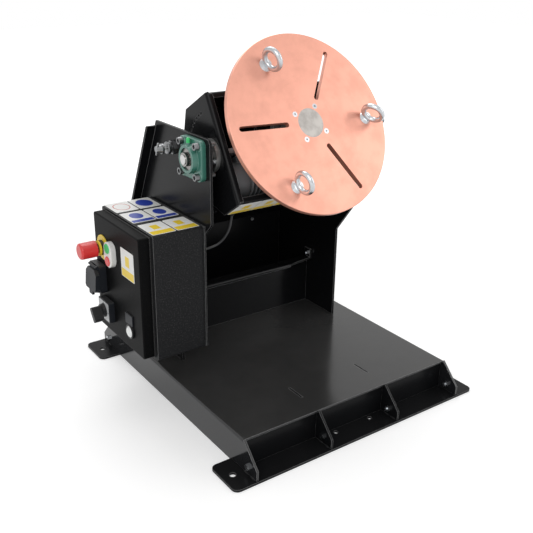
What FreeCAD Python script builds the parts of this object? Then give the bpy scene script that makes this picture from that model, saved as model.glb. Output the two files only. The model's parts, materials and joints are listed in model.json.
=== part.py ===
"""Bench welding positioner: a slotted round table that spins and tilts over a folded sheet-steel base.

Frame: origin on the floor at the middle of the four anchor holes, X to the right along the front,
Y to the rear, Z up, millimetres. The tilting head is modelled with its table face up and its pivot at the
origin, then turned and lifted into its rest pose by tilted().
"""
import FreeCAD, Part
import math
import os

V = FreeCAD.Vector
X, Y, Z = V(1, 0, 0), V(0, 1, 0), V(0, 0, 1)

# ---------------------------------------------------------------- driving dimensions (mm)
# base
DECK_W, DECK_D, DECK_H = 585.0, 636.0, 77.0
DECK_T = 5.0
FOLD_R = 7.0
ANCHOR_X, ANCHOR_Y = 640.0, 640.0
ANCHOR_R = 7.0
FOOT_EDGE = 25.0
FOOT_DEPTH = 98.0
FOOT_T = 5.0
FOOT_CORNER_R = 14.0
NOSE_REACH, NOSE_H = 48.0, 27.0
RIB_X, RIB_T = 97.0, 5.0
TAB_L = 48.0
TAB_Y = 234.0
WALL_T, WALL_SETBACK = 5.0, 6.0
LEVEL_X, LEVEL_R = 50.0, 5.0
NOSE_BOLT_R = 4.0
NOSE_BOLT_BACK, NOSE_BOLT_Z = 30.0, 22.0

# tower
UP_X, UP_T = 228.4, 6.0
UP_TOP = 640.0
UP_FRONT, UP_STEM_FRONT = -107.0, 33.0
UP_HEAD_L, UP_HEAD_R = 180.0, 133.0
UP_STEM_Z = 322.0
UP_REAR_TOP, UP_REAR_FOOT = 123.0, 287.0
UP_KNEE_Z = 306.0
UP_CORNER_R = 14.0
UP_FLANGE = 22.0
BACK_T, BACK_TOP = 4.0, 590.0
PANEL_SCREW_R, PANEL_SCREW_X, PANEL_SCREW_UP = 4.5, 133.0, 40.0
LIP_Y, LIP_Z, LIP_DEPTH, LIP_T = 155.0, 211.0, 36.0, 5.0
LIP_HALF, LIP_HEM = 150.0, 9.0
EAR_H, EAR_D = 24.0, 24.0

# tilt pivot and its flange bearing units
PIVOT_Y, PIVOT_Z = -49.0, 592.0
SHAFT_R = 10.0
UNIT_A, UNIT_HOLES = 86.0, 64.0
UNIT_T, UNIT_H = 11.0, 23.0
UNIT_HUB_R, UNIT_CORNER_R = 32.0, 13.0
UNIT_LINE, RING_W = 12.0, 14.0
RING_R, RING_SPLIT_R = 23.5, 14.5
INNER_W, INNER_START = 26.5, 1.5
CAP_R, CAP_H = 4.2, 7.0
UNIT_BOLT_R, UNIT_BOLT_TAIL = 5.0, 12.0
SHAFT_OUT = 30.0

# tilting head, table face up, pivot at the origin
REST_TILT = 60.0
HEAD_X, SIDE_T, WRAP_T = 195.0, 6.0, 5.0
HEAD_TOP, HEAD_BOTTOM = 48.0, -100.0
HEAD_REAR, HEAD_FRONT = 121.0, -122.0
REAR_CHAMFER_Z, REAR_CHAMFER_Y = -52.0, 66.0
FRONT_CHAMFER_Z, FRONT_CHAMFER_Y = -17.0, -50.0
FRONT_FLARE = 5.0
RETURN_W, RETURN_R = 14.0, 8.0
SHELF_Y, SHELF_T, SHELF_LIP = -8.0, 5.0, 10.0
INDEX_R, INDEX_STEP, INDEX_HOLES = 90.0, 7.5, 13
PIN_R, PIN_FIT = 3.0, 0.08
SPINDLE_Y = 12.0
CARRIER_HALF, CARRIER_T = 95.0, 6.0
SPINDLE_R, RUN_FIT = 17.5, 0.06
HOUSING_R, HOUSING_FLANGE_R, HOUSING_FLANGE_T = 42.0, 62.0, 12.0
HOUSING_TOP = 77.0
BOSS_R, BOSS_T, BOSS_PCR = 36.0, 10.0, 26.0
GEARBOX_A, GEARBOX_H = 104.0, 66.0
WORM_Y = -62.0
MOTOR_R, MOTOR_L = 40.0, 112.0

# table
TABLE_R, TABLE_T, TABLE_FACE = 200.0, 12.0, 104.0
SLOT_W, SLOT_IN, SLOT_OUT = 11.0, 57.0, 179.0
PILOT_R = 32.0
HUB_R, HUB_T = 55.0, 12.0
HUB_SCREW_PCR, HUB_SCREW_R, HUB_SCREW_HEAD = 41.0, 3.0, 6.0
HUB_SCREW_TURN = 59.0
TABLE_TURN = -2.0
EYE_TURNS = (112.0, 135.0, 105.0)
EYE_PCR, EYE_SHANK = 152.0, 6.0
EYE_RING_R, EYE_WIRE_R, EYE_COLLAR_R, EYE_COLLAR_H = 21.0, 6.0, 15.0, 6.0

# control enclosure on the left upright
PAD_T = 4.0
PAD_BOLTS, PAD_DROP = 76.0, 36.0
BOX_D, BOX_W, BOX_H, BOX_WALL = 118.0, 248.0, 286.0, 2.0
BOX_FRONT, BOX_Z = -82.0, 166.5
BOX_R = 6.0
DOOR_GAP, DOOR_T, DOOR_SHEET = 2.0, 25.0, 2.0
DOOR_MARGIN_Y, DOOR_MARGIN_Z = 12.0, 5.0
DOOR_OPEN_MARGIN = 14.0
HINGE_R = 4.0

# door furniture: IN from the enclosure's rear edge, ROW as a share of its height
ESTOP_IN, ESTOP_ROW = 55.0, 0.729
ESTOP_PLATE_R, ESTOP_STEM_R, ESTOP_R, ESTOP_L = 28.5, 11.0, 18.5, 38.0
TWIN_GAP, TWIN_DROP = 0.5, 1.0
TWIN_W, TWIN_H, TWIN_T, TWIN_BUTTON_R = 38.0, 58.0, 12.0, 11.0
SOCKET_IN, SOCKET_ROW = 35.0, 0.463
SOCKET_W, SOCKET_H, SOCKET_T = 54.0, 66.0, 16.0
LID_CORNER = 11.0
SWITCH_IN, SWITCH_ROW = 66.0, 0.215
SWITCH_W, SWITCH_H, SWITCH_T = 56.0, 50.0, 13.0
LAMP_BACK, LAMP_UP = 73.0, 49.5
LAMP_R, LAMP_T = 15.0, 9.0
LEGEND_W, LEGEND_H, LEGEND_T = 34.0, 24.0, 3.0

# inside the enclosure: mounting plate, top-hat rail, contactors, terminals and drive
PLATE_EDGE, PLATE_FOOT, PLATE_HEAD, PLATE_T, POST_H, POST_R = 22.0, 20.0, 60.0, 2.0, 8.0, 4.0
RAIL_DROP, RAIL_H, RAIL_D, RAIL_T, RAIL_LIP = 60.0, 24.0, 8.0, 1.0, 5.0
CONTACTOR_W, CONTACTOR_H, CONTACTOR_D, CONTACTOR_GAP = 45.0, 74.0, 56.0, 5.0
TERMINAL_W, TERMINAL_H, TERMINAL_D, TERMINAL_GAP, TERMINALS = 7.0, 48.0, 40.0, 1.0, 6
DEVICE_EDGE, DEVICE_GAP = 11.0, 7.0
DRIVE_W, DRIVE_D, DRIVE_FOOT = 84.0, 72.0, 10.0
VENT_T, VENT_PITCH, VENT_EDGE = 4.0, 9.0, 8.0
BLOCK_D, BLOCK_SIDE = 40.0, 5.0

# index plunger
SLEEVE_R, SLEEVE_HEAD_R, SLEEVE_HEAD_L = 8.0, 13.5, 9.0
PIN_CLEAR, PIN_TRAVEL = 1.5, 7.0
SLEEVE_IN, SLEEVE_OUT = 12.0, 20.0
NUT_AF, NUT_H = 27.0, 8.0
KNOB_R, KNOB_END_R, KNOB_L = 11.0, 6.5, 16.0
HANDLE_L, HANDLE_R, HANDLE_LEAN = 26.0, 2.5, 20.0

# motor cable
CABLE_R = 2.6
GLAND_R, GLAND_L = 9.0, 14.0
CABLE_EXIT_X, CABLE_EXIT_BACK = -165.0, 16.0
CABLE_ENTRY_Y, CABLE_ENTRY_Z = -50.0, 386.0
HEAD_LEAD, BOX_LEAD = 24.0, 16.0
CABLE_WAY = ((-169.0, -69.0, 420.0), (-182.0, -58.0, 396.0))

PARTS = {}


# ---------------------------------------------------------------- shape helpers
def keep(name, *shapes):
    """File the solids of one sub-part under its node name."""
    solids = [s for shape in shapes for s in shape.Solids]
    PARTS[name] = solids[0] if len(solids) == 1 else Part.makeCompound(solids)


def box(x, y, z):
    """A block between the pairs x, y and z."""
    return Part.makeBox(x[1] - x[0], y[1] - y[0], z[1] - z[0], V(x[0], y[0], z[0]))


def rod(start, axis, r, length):
    return Part.makeCylinder(r, length, start, axis)


def tube(start, axis, r_out, r_in, length):
    return rod(start, axis, r_out, length).cut(rod(start, axis, r_in, length))


def cone(start, axis, r0, r1, length):
    return Part.makeCone(r0, r1, length, start, axis)


def prism(points, sweep):
    """A closed outline of points, swept along a vector."""
    return Part.Face(Part.makePolygon(points + [points[0]])).extrude(sweep)


def prism_x(outline, x0, x1):
    """An outline of (y, z) pairs, swept from x0 to x1."""
    return prism([V(x0, y, z) for y, z in outline], V(x1 - x0, 0, 0))


def prism_z(outline, z0, z1):
    return prism([V(x, y, z0) for x, y in outline], V(0, 0, z1 - z0))


def hexagon(centre, axis, af, height):
    """A hexagonal prism of width af across its flats, about axis X, Y or Z."""
    across = Y if axis.x else X
    other = axis.cross(across)
    ring = [math.radians(60 * k) for k in range(6)]
    r = af / math.sqrt(3)
    points = [centre + across * (r * math.cos(a)) + other * (r * math.sin(a)) for a in ring]
    return prism(points, axis * height)


def fused(first, *others):
    return first.multiFuse(list(others)).removeSplitter() if others else first


def drilled(shape, *tools):
    for tool in tools:
        shape = shape.cut(tool)
    return shape


def along(edge, axis):
    """True for a straight edge parallel to axis."""
    if not isinstance(edge.Curve, (Part.Line, Part.LineSegment)):
        return False
    a, b = edge.Vertexes[0].Point, edge.Vertexes[-1].Point
    return (b - a).cross(axis).Length < 1e-6


def rounded(shape, r, axis, where=lambda p: True):
    """shape with its straight edges along axis rounded, where their middle passes the test."""
    edges = [e for e in shape.Edges if along(e, axis) and where(e.CenterOfMass)]
    return shape.makeFillet(r, edges)


def inset(outline, t):
    """A convex outline, given anticlockwise, moved inwards by t."""
    lines = []
    for (ax, ay), (bx, by) in zip(outline, outline[1:] + outline[:1]):
        length = math.hypot(bx - ax, by - ay)
        nx, ny = -(by - ay) / length, (bx - ax) / length
        lines.append((nx, ny, nx * ax + ny * ay + t))
    points = []
    for (a, b, c), (d, e, f) in zip(lines[-1:] + lines[:-1], lines):
        det = a * e - b * d
        points.append(((c * e - b * f) / det, (a * f - c * d) / det))
    return points


def bolt(face, axis, r, grip, cap=False, tail=None):
    """A bolt seated at face, its shank along axis through grip, a nut and a free tail behind it."""
    af, head = 3.3 * r, 1.3 * r
    top = face - axis * head
    heads = rod(face - axis * 2 * r, axis, 1.5 * r, 2 * r) if cap else hexagon(top, axis, af, head)
    if cap:
        heads = heads.cut(hexagon(face - axis * 2 * r, axis, 1.6 * r, r))
    nut = 1.6 * r
    shank = rod(face, axis, r, grip + nut + (r if tail is None else tail))
    return fused(heads, shank, hexagon(face + axis * grip, axis, af, nut))


def tilted(shape):
    """shape from the table-up layout to its rest pose on the pivot."""
    shape = shape.copy()
    shape.rotate(V(0, 0, 0), X, REST_TILT)
    shape.translate(V(0, PIVOT_Y, PIVOT_Z))
    return shape


# ---------------------------------------------------------------- places worked out from the sizes
DECK_X, DECK_Y = DECK_W / 2, DECK_D / 2
UNDER_DECK = DECK_H - DECK_T
FOOT_X = ANCHOR_X / 2 + FOOT_EDGE
FOOT_IN, FOOT_OUT = ANCHOR_Y / 2 - FOOT_DEPTH / 2, ANCHOR_Y / 2 + FOOT_DEPTH / 2
NOSE_Y = DECK_Y + NOSE_REACH
NOSE_BOLT_Y = NOSE_Y - NOSE_BOLT_BACK
WALL_Y = DECK_Y - WALL_SETBACK
LAP_Z = (FOOT_T + UNDER_DECK) / 2
UP_OUT = UP_X + UP_T
LEAN = (UP_REAR_FOOT - UP_REAR_TOP) / (UP_TOP - UP_KNEE_Z)
PIVOT = V(0, PIVOT_Y, PIVOT_Z)
PLUNGER_TURN = 3.0
PLUNGER_Y = PIVOT_Y + INDEX_R * math.cos(math.radians(PLUNGER_TURN))
PLUNGER_Z = PIVOT_Z + INDEX_R * math.sin(math.radians(PLUNGER_TURN))
EAR_Y, EAR_Z = LIP_Y - EAR_D / 2, LIP_Z + EAR_H / 2 - 2
HEAD_IN = HEAD_X - SIDE_T
FRONT_LOW = HEAD_FRONT - FRONT_FLARE
RETURN_IN = HEAD_X - RETURN_W
CARRIER_Z = HEAD_TOP - 8
TABLE_BACK = TABLE_FACE - TABLE_T
BOX_BACK = -(UP_OUT + PAD_T)
BOX_FACE = BOX_BACK - BOX_D
DOOR_BACK = BOX_FACE - DOOR_GAP
DOOR_FACE = DOOR_BACK - DOOR_T
BOX_REAR, BOX_TOP = BOX_FRONT + BOX_W, BOX_Z + BOX_H
DOOR_Y = (BOX_FRONT + DOOR_MARGIN_Y, BOX_REAR - DOOR_MARGIN_Y)
DOOR_Z = (BOX_Z + DOOR_MARGIN_Z, BOX_TOP - DOOR_MARGIN_Z)
HINGE_X, HINGE_Y = BOX_FACE - HINGE_R - 1, DOOR_Y[1] + HINGE_R + 1
ESTOP_YZ = (BOX_REAR - ESTOP_IN, BOX_Z + ESTOP_ROW * BOX_H)
TWIN_YZ = (ESTOP_YZ[0] - ESTOP_PLATE_R - TWIN_GAP - TWIN_W / 2, ESTOP_YZ[1] - TWIN_DROP)
SOCKET_YZ = (BOX_REAR - SOCKET_IN, BOX_Z + SOCKET_ROW * BOX_H)
SWITCH_YZ = (BOX_REAR - SWITCH_IN, BOX_Z + SWITCH_ROW * BOX_H)
LAMP_YZ = (BOX_FRONT + LAMP_BACK, BOX_Z + LAMP_UP)


# ---------------------------------------------------------------- base
def nose(sign):
    """Side outline of the gusset that runs out over a foot plate at the front (-1) or rear (+1)."""
    outline = [(DECK_Y, FOOT_T), (DECK_Y, DECK_H), (NOSE_Y, NOSE_H), (NOSE_Y, FOOT_T)]
    return [(sign * y, z) for y, z in outline]


def deck():
    """Top sheet with both sides folded down to the floor and drawn out into gussets."""
    outer = rounded(box((-DECK_X, DECK_X), (-DECK_Y, DECK_Y), (0, DECK_H)), FOLD_R, Y, lambda p: p.z > 1)
    gap = (-DECK_X + DECK_T, DECK_X - DECK_T)
    inner = box(gap, (-DECK_Y, DECK_Y), (-DECK_T, UNDER_DECK))
    shell = outer.cut(rounded(inner, FOLD_R - DECK_T, Y, lambda p: p.z > 1))
    walls = [(-DECK_X, -DECK_X + DECK_T), (DECK_X - DECK_T, DECK_X)]
    shell = fused(shell, *[prism_x(nose(s), *w) for w in walls for s in (-1, 1)])
    for s in (-1, 1):
        reach = sorted((s * FOOT_IN, s * NOSE_Y))
        shell = shell.cut(box((-DECK_X, DECK_X), reach, (0, FOOT_T)))
        shell = drilled(shell, rod(V(-DECK_X, s * NOSE_BOLT_Y, NOSE_BOLT_Z), X, NOSE_BOLT_R + 0.3, DECK_W))
        for side in (-1, 1):
            slot = (side * RIB_X - RIB_T / 2, side * RIB_X + RIB_T / 2)
            tab = (s * TAB_Y - TAB_L / 2, s * TAB_Y + TAB_L / 2)
            shell = shell.cut(box(slot, tab, (UNDER_DECK, DECK_H)))
    keep("deck", shell)


def foot_plates():
    solids = []
    for s in (-1, 1):
        plate = box((-FOOT_X, FOOT_X), sorted((s * FOOT_IN, s * FOOT_OUT)), (0, FOOT_T))
        plate = rounded(plate, FOOT_CORNER_R, Z)
        holes = [rod(V(side * ANCHOR_X / 2, s * ANCHOR_Y / 2, 0), Z, ANCHOR_R, FOOT_T) for side in (-1, 1)]
        level_y = s * (DECK_Y + LEVEL_R)
        holes += [rod(V(side * LEVEL_X, level_y, 0), Z, LEVEL_R, FOOT_T) for side in (-1, 1)]
        solids.append(drilled(plate, *holes))
    keep("foot_plates", *solids)


def ribs():
    """Two full-depth ribs, tabbed up through the deck and cross-lapped with the end walls."""
    solids = []
    for side in (-1, 1):
        x = (side * RIB_X - RIB_T / 2, side * RIB_X + RIB_T / 2)
        rib = fused(box(x, (-DECK_Y, DECK_Y), (FOOT_T, UNDER_DECK)), *[prism_x(nose(s), *x) for s in (-1, 1)])
        for s in (-1, 1):
            tab = (s * TAB_Y - TAB_L / 2, s * TAB_Y + TAB_L / 2)
            rib = fused(rib, box(x, tab, (UNDER_DECK, DECK_H)))
            lap = sorted((s * WALL_Y, s * (WALL_Y - WALL_T)))
            rib = rib.cut(box(x, lap, (LAP_Z, UNDER_DECK)))
            rib = rib.cut(rod(V(x[0], s * NOSE_BOLT_Y, NOSE_BOLT_Z), X, NOSE_BOLT_R + 0.3, RIB_T))
        solids.append(rib)
    keep("deck_ribs", *solids)


def end_walls():
    solids = []
    for s in (-1, 1):
        y = sorted((s * WALL_Y, s * (WALL_Y - WALL_T)))
        wall = box((-DECK_X + DECK_T, DECK_X - DECK_T), y, (FOOT_T, UNDER_DECK))
        wall = rounded(wall, FOLD_R - DECK_T, Y, lambda p: p.z > LAP_Z)
        for side in (-1, 1):
            x = (side * RIB_X - RIB_T / 2, side * RIB_X + RIB_T / 2)
            wall = wall.cut(box(x, y, (FOOT_T, LAP_Z)))
        solids.append(wall)
    keep("end_walls", *solids)


def frame_bolts():
    """All hexagon bolts of the standing frame, one solid each with its nut."""
    keep("frame_bolts", *nose_bolts(), *lip_bolts(), *pad_bolts(), *panel_screws())


def lip_bolts():
    """The lip panel's right ear; the left one shares a bolt of the enclosure."""
    return [bolt(V(UP_OUT, EAR_Y, EAR_Z), -X, NOSE_BOLT_R, UP_T + LIP_T)]


def pad_bolts():
    grip = BOX_WALL + PAD_T + UP_T
    grips = (grip, grip, grip, grip + LIP_T)
    return [bolt(V(BOX_BACK - BOX_WALL, 0, 0) + at, X, NOSE_BOLT_R, g) for at, g in zip(pad_holes(), grips)]


def panel_screws():
    """Round-headed screws of the back panel: two just under its bend and one in the middle above it."""
    low = [rod(V(s * PANEL_SCREW_X, UP_REAR_FOOT - BACK_T, UP_KNEE_Z - 10), -Y, PANEL_SCREW_R, 3) for s in (-1, 1)]
    z = UP_KNEE_Z + PANEL_SCREW_UP
    seat = V(0, lean_y(z) - BACK_T * math.hypot(1, LEAN), z)
    return low + [rod(seat, V(0, -1, -LEAN), PANEL_SCREW_R, 3)]


def nose_bolts():
    """A cross bolt in each gusset, for castor brackets or a tie bar."""
    solids = []
    for s in (-1, 1):
        for x, t in ((-DECK_X, DECK_T), (-RIB_X - RIB_T / 2, RIB_T), (RIB_X + RIB_T / 2, RIB_T), (DECK_X, DECK_T)):
            inward = X if x < 0 else -X
            solids.append(bolt(V(x, s * NOSE_BOLT_Y, NOSE_BOLT_Z), inward, NOSE_BOLT_R, t))
    return solids


# ---------------------------------------------------------------- tower
def lean_y(z):
    """Rear edge of an upright at height z, above its knee."""
    return UP_REAR_TOP + (UP_TOP - z) * LEAN


def rear_band(top, foot, t):
    """Outline of a sheet of thickness t that follows the uprights' rear edge from top to foot."""
    back = t * math.hypot(1, LEAN)
    bend = UP_KNEE_Z - back * 0.2
    outer = [(lean_y(top), top), (UP_REAR_FOOT, UP_KNEE_Z), (UP_REAR_FOOT, foot)]
    return outer + [(UP_REAR_FOOT - t, foot), (UP_REAR_FOOT - t, bend), (lean_y(top) - back, top)]


def upright(side):
    """Side plate with a leaning, flanged rear edge; its head reaches lower behind the enclosure."""
    corner = UP_TOP - (UP_HEAD_L if side < 0 else UP_HEAD_R)
    outline = [(UP_STEM_FRONT, DECK_H), (UP_REAR_FOOT, DECK_H), (UP_REAR_FOOT, UP_KNEE_Z),
               (UP_REAR_TOP, UP_TOP), (UP_FRONT, UP_TOP), (UP_FRONT, corner), (UP_STEM_FRONT, UP_STEM_Z)]
    inner, outer = side * UP_X, side * UP_OUT
    sheet = prism_x(outline, inner, outer)
    sheet = rounded(sheet, UP_CORNER_R, X, lambda p: p.y < UP_FRONT + 1)
    flange = prism_x(rear_band(UP_TOP - 12, DECK_H, UP_T), outer, side * (UP_OUT + UP_FLANGE))
    sheet = fused(sheet, flange)
    start = V(min(inner, outer), 0, 0)
    holes = [rod(start + at, X, UNIT_BOLT_R + 0.5, UP_T) for at in unit_holes()]
    holes.append(rod(start + PIVOT, X, RING_R - 4, UP_T))
    holes.append(rod(start + V(0, EAR_Y, EAR_Z), X, NOSE_BOLT_R + 0.3, UP_T))
    if side < 0:
        holes.append(rod(start + V(0, PLUNGER_Y, PLUNGER_Z), X, SLEEVE_R, UP_T))
        holes += [rod(start + at, X, NOSE_BOLT_R + 0.3, UP_T) for at in pad_holes()]
    return drilled(sheet, *holes)


def unit_holes():
    h = UNIT_HOLES / 2
    return [PIVOT + V(0, y, z) for y in (-h, h) for z in (-h, h)]


def pad_holes():
    """The enclosure's four bolt places; the one at the lip panel's ear comes last."""
    return [V(0, y, z) for y in (EAR_Y - PAD_BOLTS, EAR_Y) for z in (BOX_TOP - PAD_DROP, EAR_Z)]


def back_panel():
    outline = rear_band(BACK_TOP, DECK_H, BACK_T)
    keep("tower_back_panel", prism_x(outline, -UP_X, UP_X))


def lip_panel():
    """Cross panel behind the table, its top folded forward into a shelf with a hemmed edge."""
    wall = box((-UP_X, UP_X), (LIP_Y - LIP_T, LIP_Y), (DECK_H, LIP_Z))
    front, neck = LIP_Y - LIP_DEPTH, LIP_Y - EAR_D
    outline = [(-UP_X, LIP_Y), (-UP_X, neck), (-LIP_HALF, front), (LIP_HALF, front), (UP_X, neck), (UP_X, LIP_Y)]
    shelf = prism_z(outline, LIP_Z - LIP_T, LIP_Z)
    hem = box((-LIP_HALF, LIP_HALF), (front, front + LIP_T), (LIP_Z - LIP_HEM, LIP_Z))
    panel = fused(wall, shelf, hem)
    edges = lambda p: p.z > LIP_Z - 0.1 and (p.y > LIP_Y - 0.1 or p.y < front + 0.1)
    panel = rounded(panel, LIP_T - 1, X, edges)
    ears = [box(sorted((s * (UP_X - LIP_T), s * UP_X)), (neck, LIP_Y), (LIP_Z - 1, LIP_Z + EAR_H)) for s in (-1, 1)]
    panel = fused(panel, *ears)
    hole = rod(V(-UP_X, EAR_Y, EAR_Z), X, NOSE_BOLT_R + 0.3, 2 * UP_X)
    keep("lip_panel", panel.cut(hole))


# ---------------------------------------------------------------- flange bearing units
def facing_out(shape, side):
    """A unit modelled on the right upright, turned about Z for the left one."""
    shape = shape.copy()
    shape.translate(V(UP_OUT, 0, 0))
    if side < 0:
        shape.rotate(V(0, 0, 0), Z, 180)
    shape.translate(PIVOT)
    return shape


def unit_housing():
    """Cast square flange with a domed hub, a ring seat through it and a grease boss."""
    half = UNIT_A / 2
    flange = rounded(box((0, UNIT_T), (-half, half), (-half, half)), UNIT_CORNER_R, X)
    edge = [e for e in flange.Edges if e.CenterOfMass.x > UNIT_T - 0.1]
    flange = flange.makeFillet(2.0, edge)
    hub = cone(V(UNIT_T - 3, 0, 0), X, UNIT_HUB_R, UNIT_HUB_R - 3, UNIT_H - UNIT_T + 3)
    pads = [rod(V(UNIT_T - 1, y * UNIT_HOLES / 2, z * UNIT_HOLES / 2), X, 10.5, 2) for y in (-1, 1) for z in (-1, 1)]
    boss = rod(V(UNIT_T + 5, 0, 0), Z, 5, UNIT_HUB_R + 2)
    body = fused(flange, hub, boss, *pads)
    seat = rod(V(UNIT_LINE - RING_W / 2, 0, 0), X, RING_R, UNIT_H)
    relief = rod(V(0, 0, 0), X, RING_R - 3, UNIT_H)
    holes = [rod(at - PIVOT, X, UNIT_BOLT_R + 0.5, UNIT_H) for at in unit_holes()]
    return drilled(body, seat, relief, *holes)


def bearing_units():
    housing = unit_housing()
    ring = tube(V(UNIT_LINE - RING_W / 2, 0, 0), X, RING_R, RING_SPLIT_R + 0.3, RING_W)
    keep("bearing_housings", facing_out(housing, -1), facing_out(housing, 1))
    keep("bearing_outer_rings", facing_out(ring, -1), facing_out(ring, 1))
    start = V(UNIT_T + 5, 0, UNIT_HUB_R + 2)
    nipple = fused(rod(start, Z, CAP_R, CAP_H), Part.makeSphere(CAP_R, start + Z * CAP_H))
    keep("grease_nipples", facing_out(nipple, -1), facing_out(nipple, 1))
    bolts = []
    for s in (-1, 1):
        face = s * (UP_OUT + UNIT_T + 1)
        bolts += [bolt(V(face, 0, 0) + at, X * -s, UNIT_BOLT_R, UNIT_T + UP_T + 1, True, UNIT_BOLT_TAIL)
                  for at in unit_holes()]
    keep("bearing_bolts", *bolts)


# ---------------------------------------------------------------- index plunger
def plunger():
    """Index plunger: threaded sleeve and lock nuts in the left upright, sliding pin, and a turning pull knob."""
    at = V(0, PLUNGER_Y, PLUNGER_Z)
    inner, outer = -(UP_X - SLEEVE_IN), -(UP_OUT + SLEEVE_OUT)
    place = lambda x: V(x, 0, 0) + at
    sleeve = rod(place(outer), X, SLEEVE_R, inner - outer)
    head = rod(place(outer), X, SLEEVE_HEAD_R, SLEEVE_HEAD_L)
    head = head.makeChamfer(1.5, [e for e in head.Edges if isinstance(e.Curve, Part.Circle)])
    bore = rod(place(outer), X, PIN_R + PIN_FIT, inner - outer)
    nuts = [hexagon(place(x), X, NUT_AF, NUT_H) for x in (-UP_OUT - NUT_H, -UP_X)]
    clear = rod(place(-UP_OUT - NUT_H), X, SLEEVE_R, 2 * NUT_H + UP_T)
    keep("plunger_sleeve", fused(sleeve, head).cut(bore), *[nut.cut(clear) for nut in nuts])
    tip = -(HEAD_X + PIN_CLEAR)
    knob_face = outer - PIN_TRAVEL - 1
    end = knob_face - KNOB_L / 2
    keep("plunger_pin", rod(place(end), X, PIN_R, tip - end))
    collar = rod(place(knob_face - 4), X, KNOB_R, 4)
    taper = cone(place(knob_face - 4), X * -1, KNOB_R - 1.5, KNOB_END_R, KNOB_L - 4)
    a = math.radians(HANDLE_LEAN)
    lean, middle = V(0, -math.sin(a), math.cos(a)), place(knob_face - KNOB_L + HANDLE_R + 1)
    bar = rod(middle - lean * (HANDLE_L / 2), lean, HANDLE_R, HANDLE_L)
    ends = [Part.makeSphere(HANDLE_R, middle + lean * (k * HANDLE_L / 2)) for k in (-1, 1)]
    knob = fused(collar, taper, bar, *ends)
    keep("plunger_handle", knob.cut(rod(place(end), X, PIN_R + PIN_FIT, KNOB_L)))


# ---------------------------------------------------------------- tilting head
def head_outline():
    """Closed outline of the head across (Y, Z), anticlockwise from the open top's front corner."""
    return [(HEAD_FRONT, HEAD_TOP), (FRONT_LOW, FRONT_CHAMFER_Z), (FRONT_CHAMFER_Y, HEAD_BOTTOM),
            (REAR_CHAMFER_Y, HEAD_BOTTOM), (HEAD_REAR, REAR_CHAMFER_Z), (HEAD_REAR, HEAD_TOP)]


def chamfer_port():
    """Start point and outward direction of the cable port in the front chamfer."""
    run = V(0, FRONT_CHAMFER_Y - FRONT_LOW, HEAD_BOTTOM - FRONT_CHAMFER_Z).normalize()
    out = V(0, run.z, -run.y)
    return V(CABLE_EXIT_X, FRONT_LOW, FRONT_CHAMFER_Z) + run * CABLE_EXIT_BACK, out


def head_wrap():
    outline = head_outline()
    shell = prism_x(outline, -HEAD_IN, HEAD_IN)
    hollow = prism_x(inset(outline, WRAP_T), -HEAD_IN, HEAD_IN)
    hollow = fused(hollow, hollow.translated(V(0, 0, 2 * WRAP_T)))
    shell = shell.cut(hollow)
    for y in (HEAD_FRONT, HEAD_REAR - RETURN_W):
        shell = fused(shell, box((-RETURN_IN, RETURN_IN), (y, y + RETURN_W), (HEAD_TOP - WRAP_T, HEAD_TOP)))
    shell = rounded(shell, RETURN_R - 1, X, lambda p: p.z > HEAD_TOP - 0.1 and (p.y < HEAD_FRONT + 0.1 or p.y > HEAD_REAR - 0.1))
    port, out = chamfer_port()
    shell = shell.cut(rod(port - out * 2 * WRAP_T, out, GLAND_R - 2, 3 * WRAP_T))
    keep("head_wrap", tilted(shell))


def head_side(side):
    sheet = prism_x(head_outline(), side * HEAD_IN, side * HEAD_X)
    lip = box(sorted((side * RETURN_IN, side * HEAD_X)), (HEAD_FRONT + WRAP_T, HEAD_REAR - WRAP_T),
              (HEAD_TOP - WRAP_T, HEAD_TOP))
    sheet = fused(sheet, lip)
    sheet = rounded(sheet, RETURN_R, Y, lambda p: p.z > HEAD_TOP - 0.1 and abs(p.x) > HEAD_X - 0.1)
    if side < 0:
        for k in range(INDEX_HOLES):
            a = math.radians(PLUNGER_TURN - k * INDEX_STEP)
            at = V(-HEAD_X, INDEX_R * math.cos(a), INDEX_R * math.sin(a))
            sheet = sheet.cut(rod(at, X, PIN_R + PIN_FIT, SIDE_T))
    return sheet


def shelves():
    solids = []
    for s in (-1, 1):
        y = (SHELF_Y - SHELF_T / 2, SHELF_Y + SHELF_T / 2)
        web = box(sorted((s * CARRIER_HALF, s * HEAD_IN)), y, (HEAD_BOTTOM + WRAP_T, HEAD_TOP - WRAP_T))
        lip = box(sorted((s * CARRIER_HALF, s * RETURN_IN)), (SHELF_Y - SHELF_LIP / 2, SHELF_Y + SHELF_LIP / 2),
                  (HEAD_TOP - WRAP_T, HEAD_TOP))
        solids.append(fused(web, lip))
    keep("head_shelves", *[tilted(s) for s in solids])


def carrier():
    """Plate across the head that the spindle housing and the gear unit bolt to."""
    plate = box((-CARRIER_HALF, CARRIER_HALF), (HEAD_FRONT + WRAP_T, HEAD_REAR - WRAP_T), (CARRIER_Z - CARRIER_T, CARRIER_Z))
    plate = plate.cut(rod(V(0, SPINDLE_Y, CARRIER_Z - CARRIER_T), Z, HOUSING_R - 8, CARRIER_T))
    keep("spindle_carrier", tilted(plate))
    bore_r = HOUSING_R - 8
    body = fused(rod(V(0, SPINDLE_Y, CARRIER_Z), Z, HOUSING_FLANGE_R, HOUSING_FLANGE_T),
                 rod(V(0, SPINDLE_Y, CARRIER_Z), Z, HOUSING_R, HOUSING_TOP - CARRIER_Z))
    body = body.cut(rod(V(0, SPINDLE_Y, CARRIER_Z), Z, bore_r, HOUSING_TOP))
    keep("spindle_housing", tilted(body))
    race = (HOUSING_TOP - CARRIER_Z) / 2 - 1
    rings = [tube(V(0, SPINDLE_Y, z), Z, bore_r, SPINDLE_R + RUN_FIT, race) for z in (CARRIER_Z, HOUSING_TOP - race)]
    keep("spindle_bearings", *[tilted(r) for r in rings])


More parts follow.
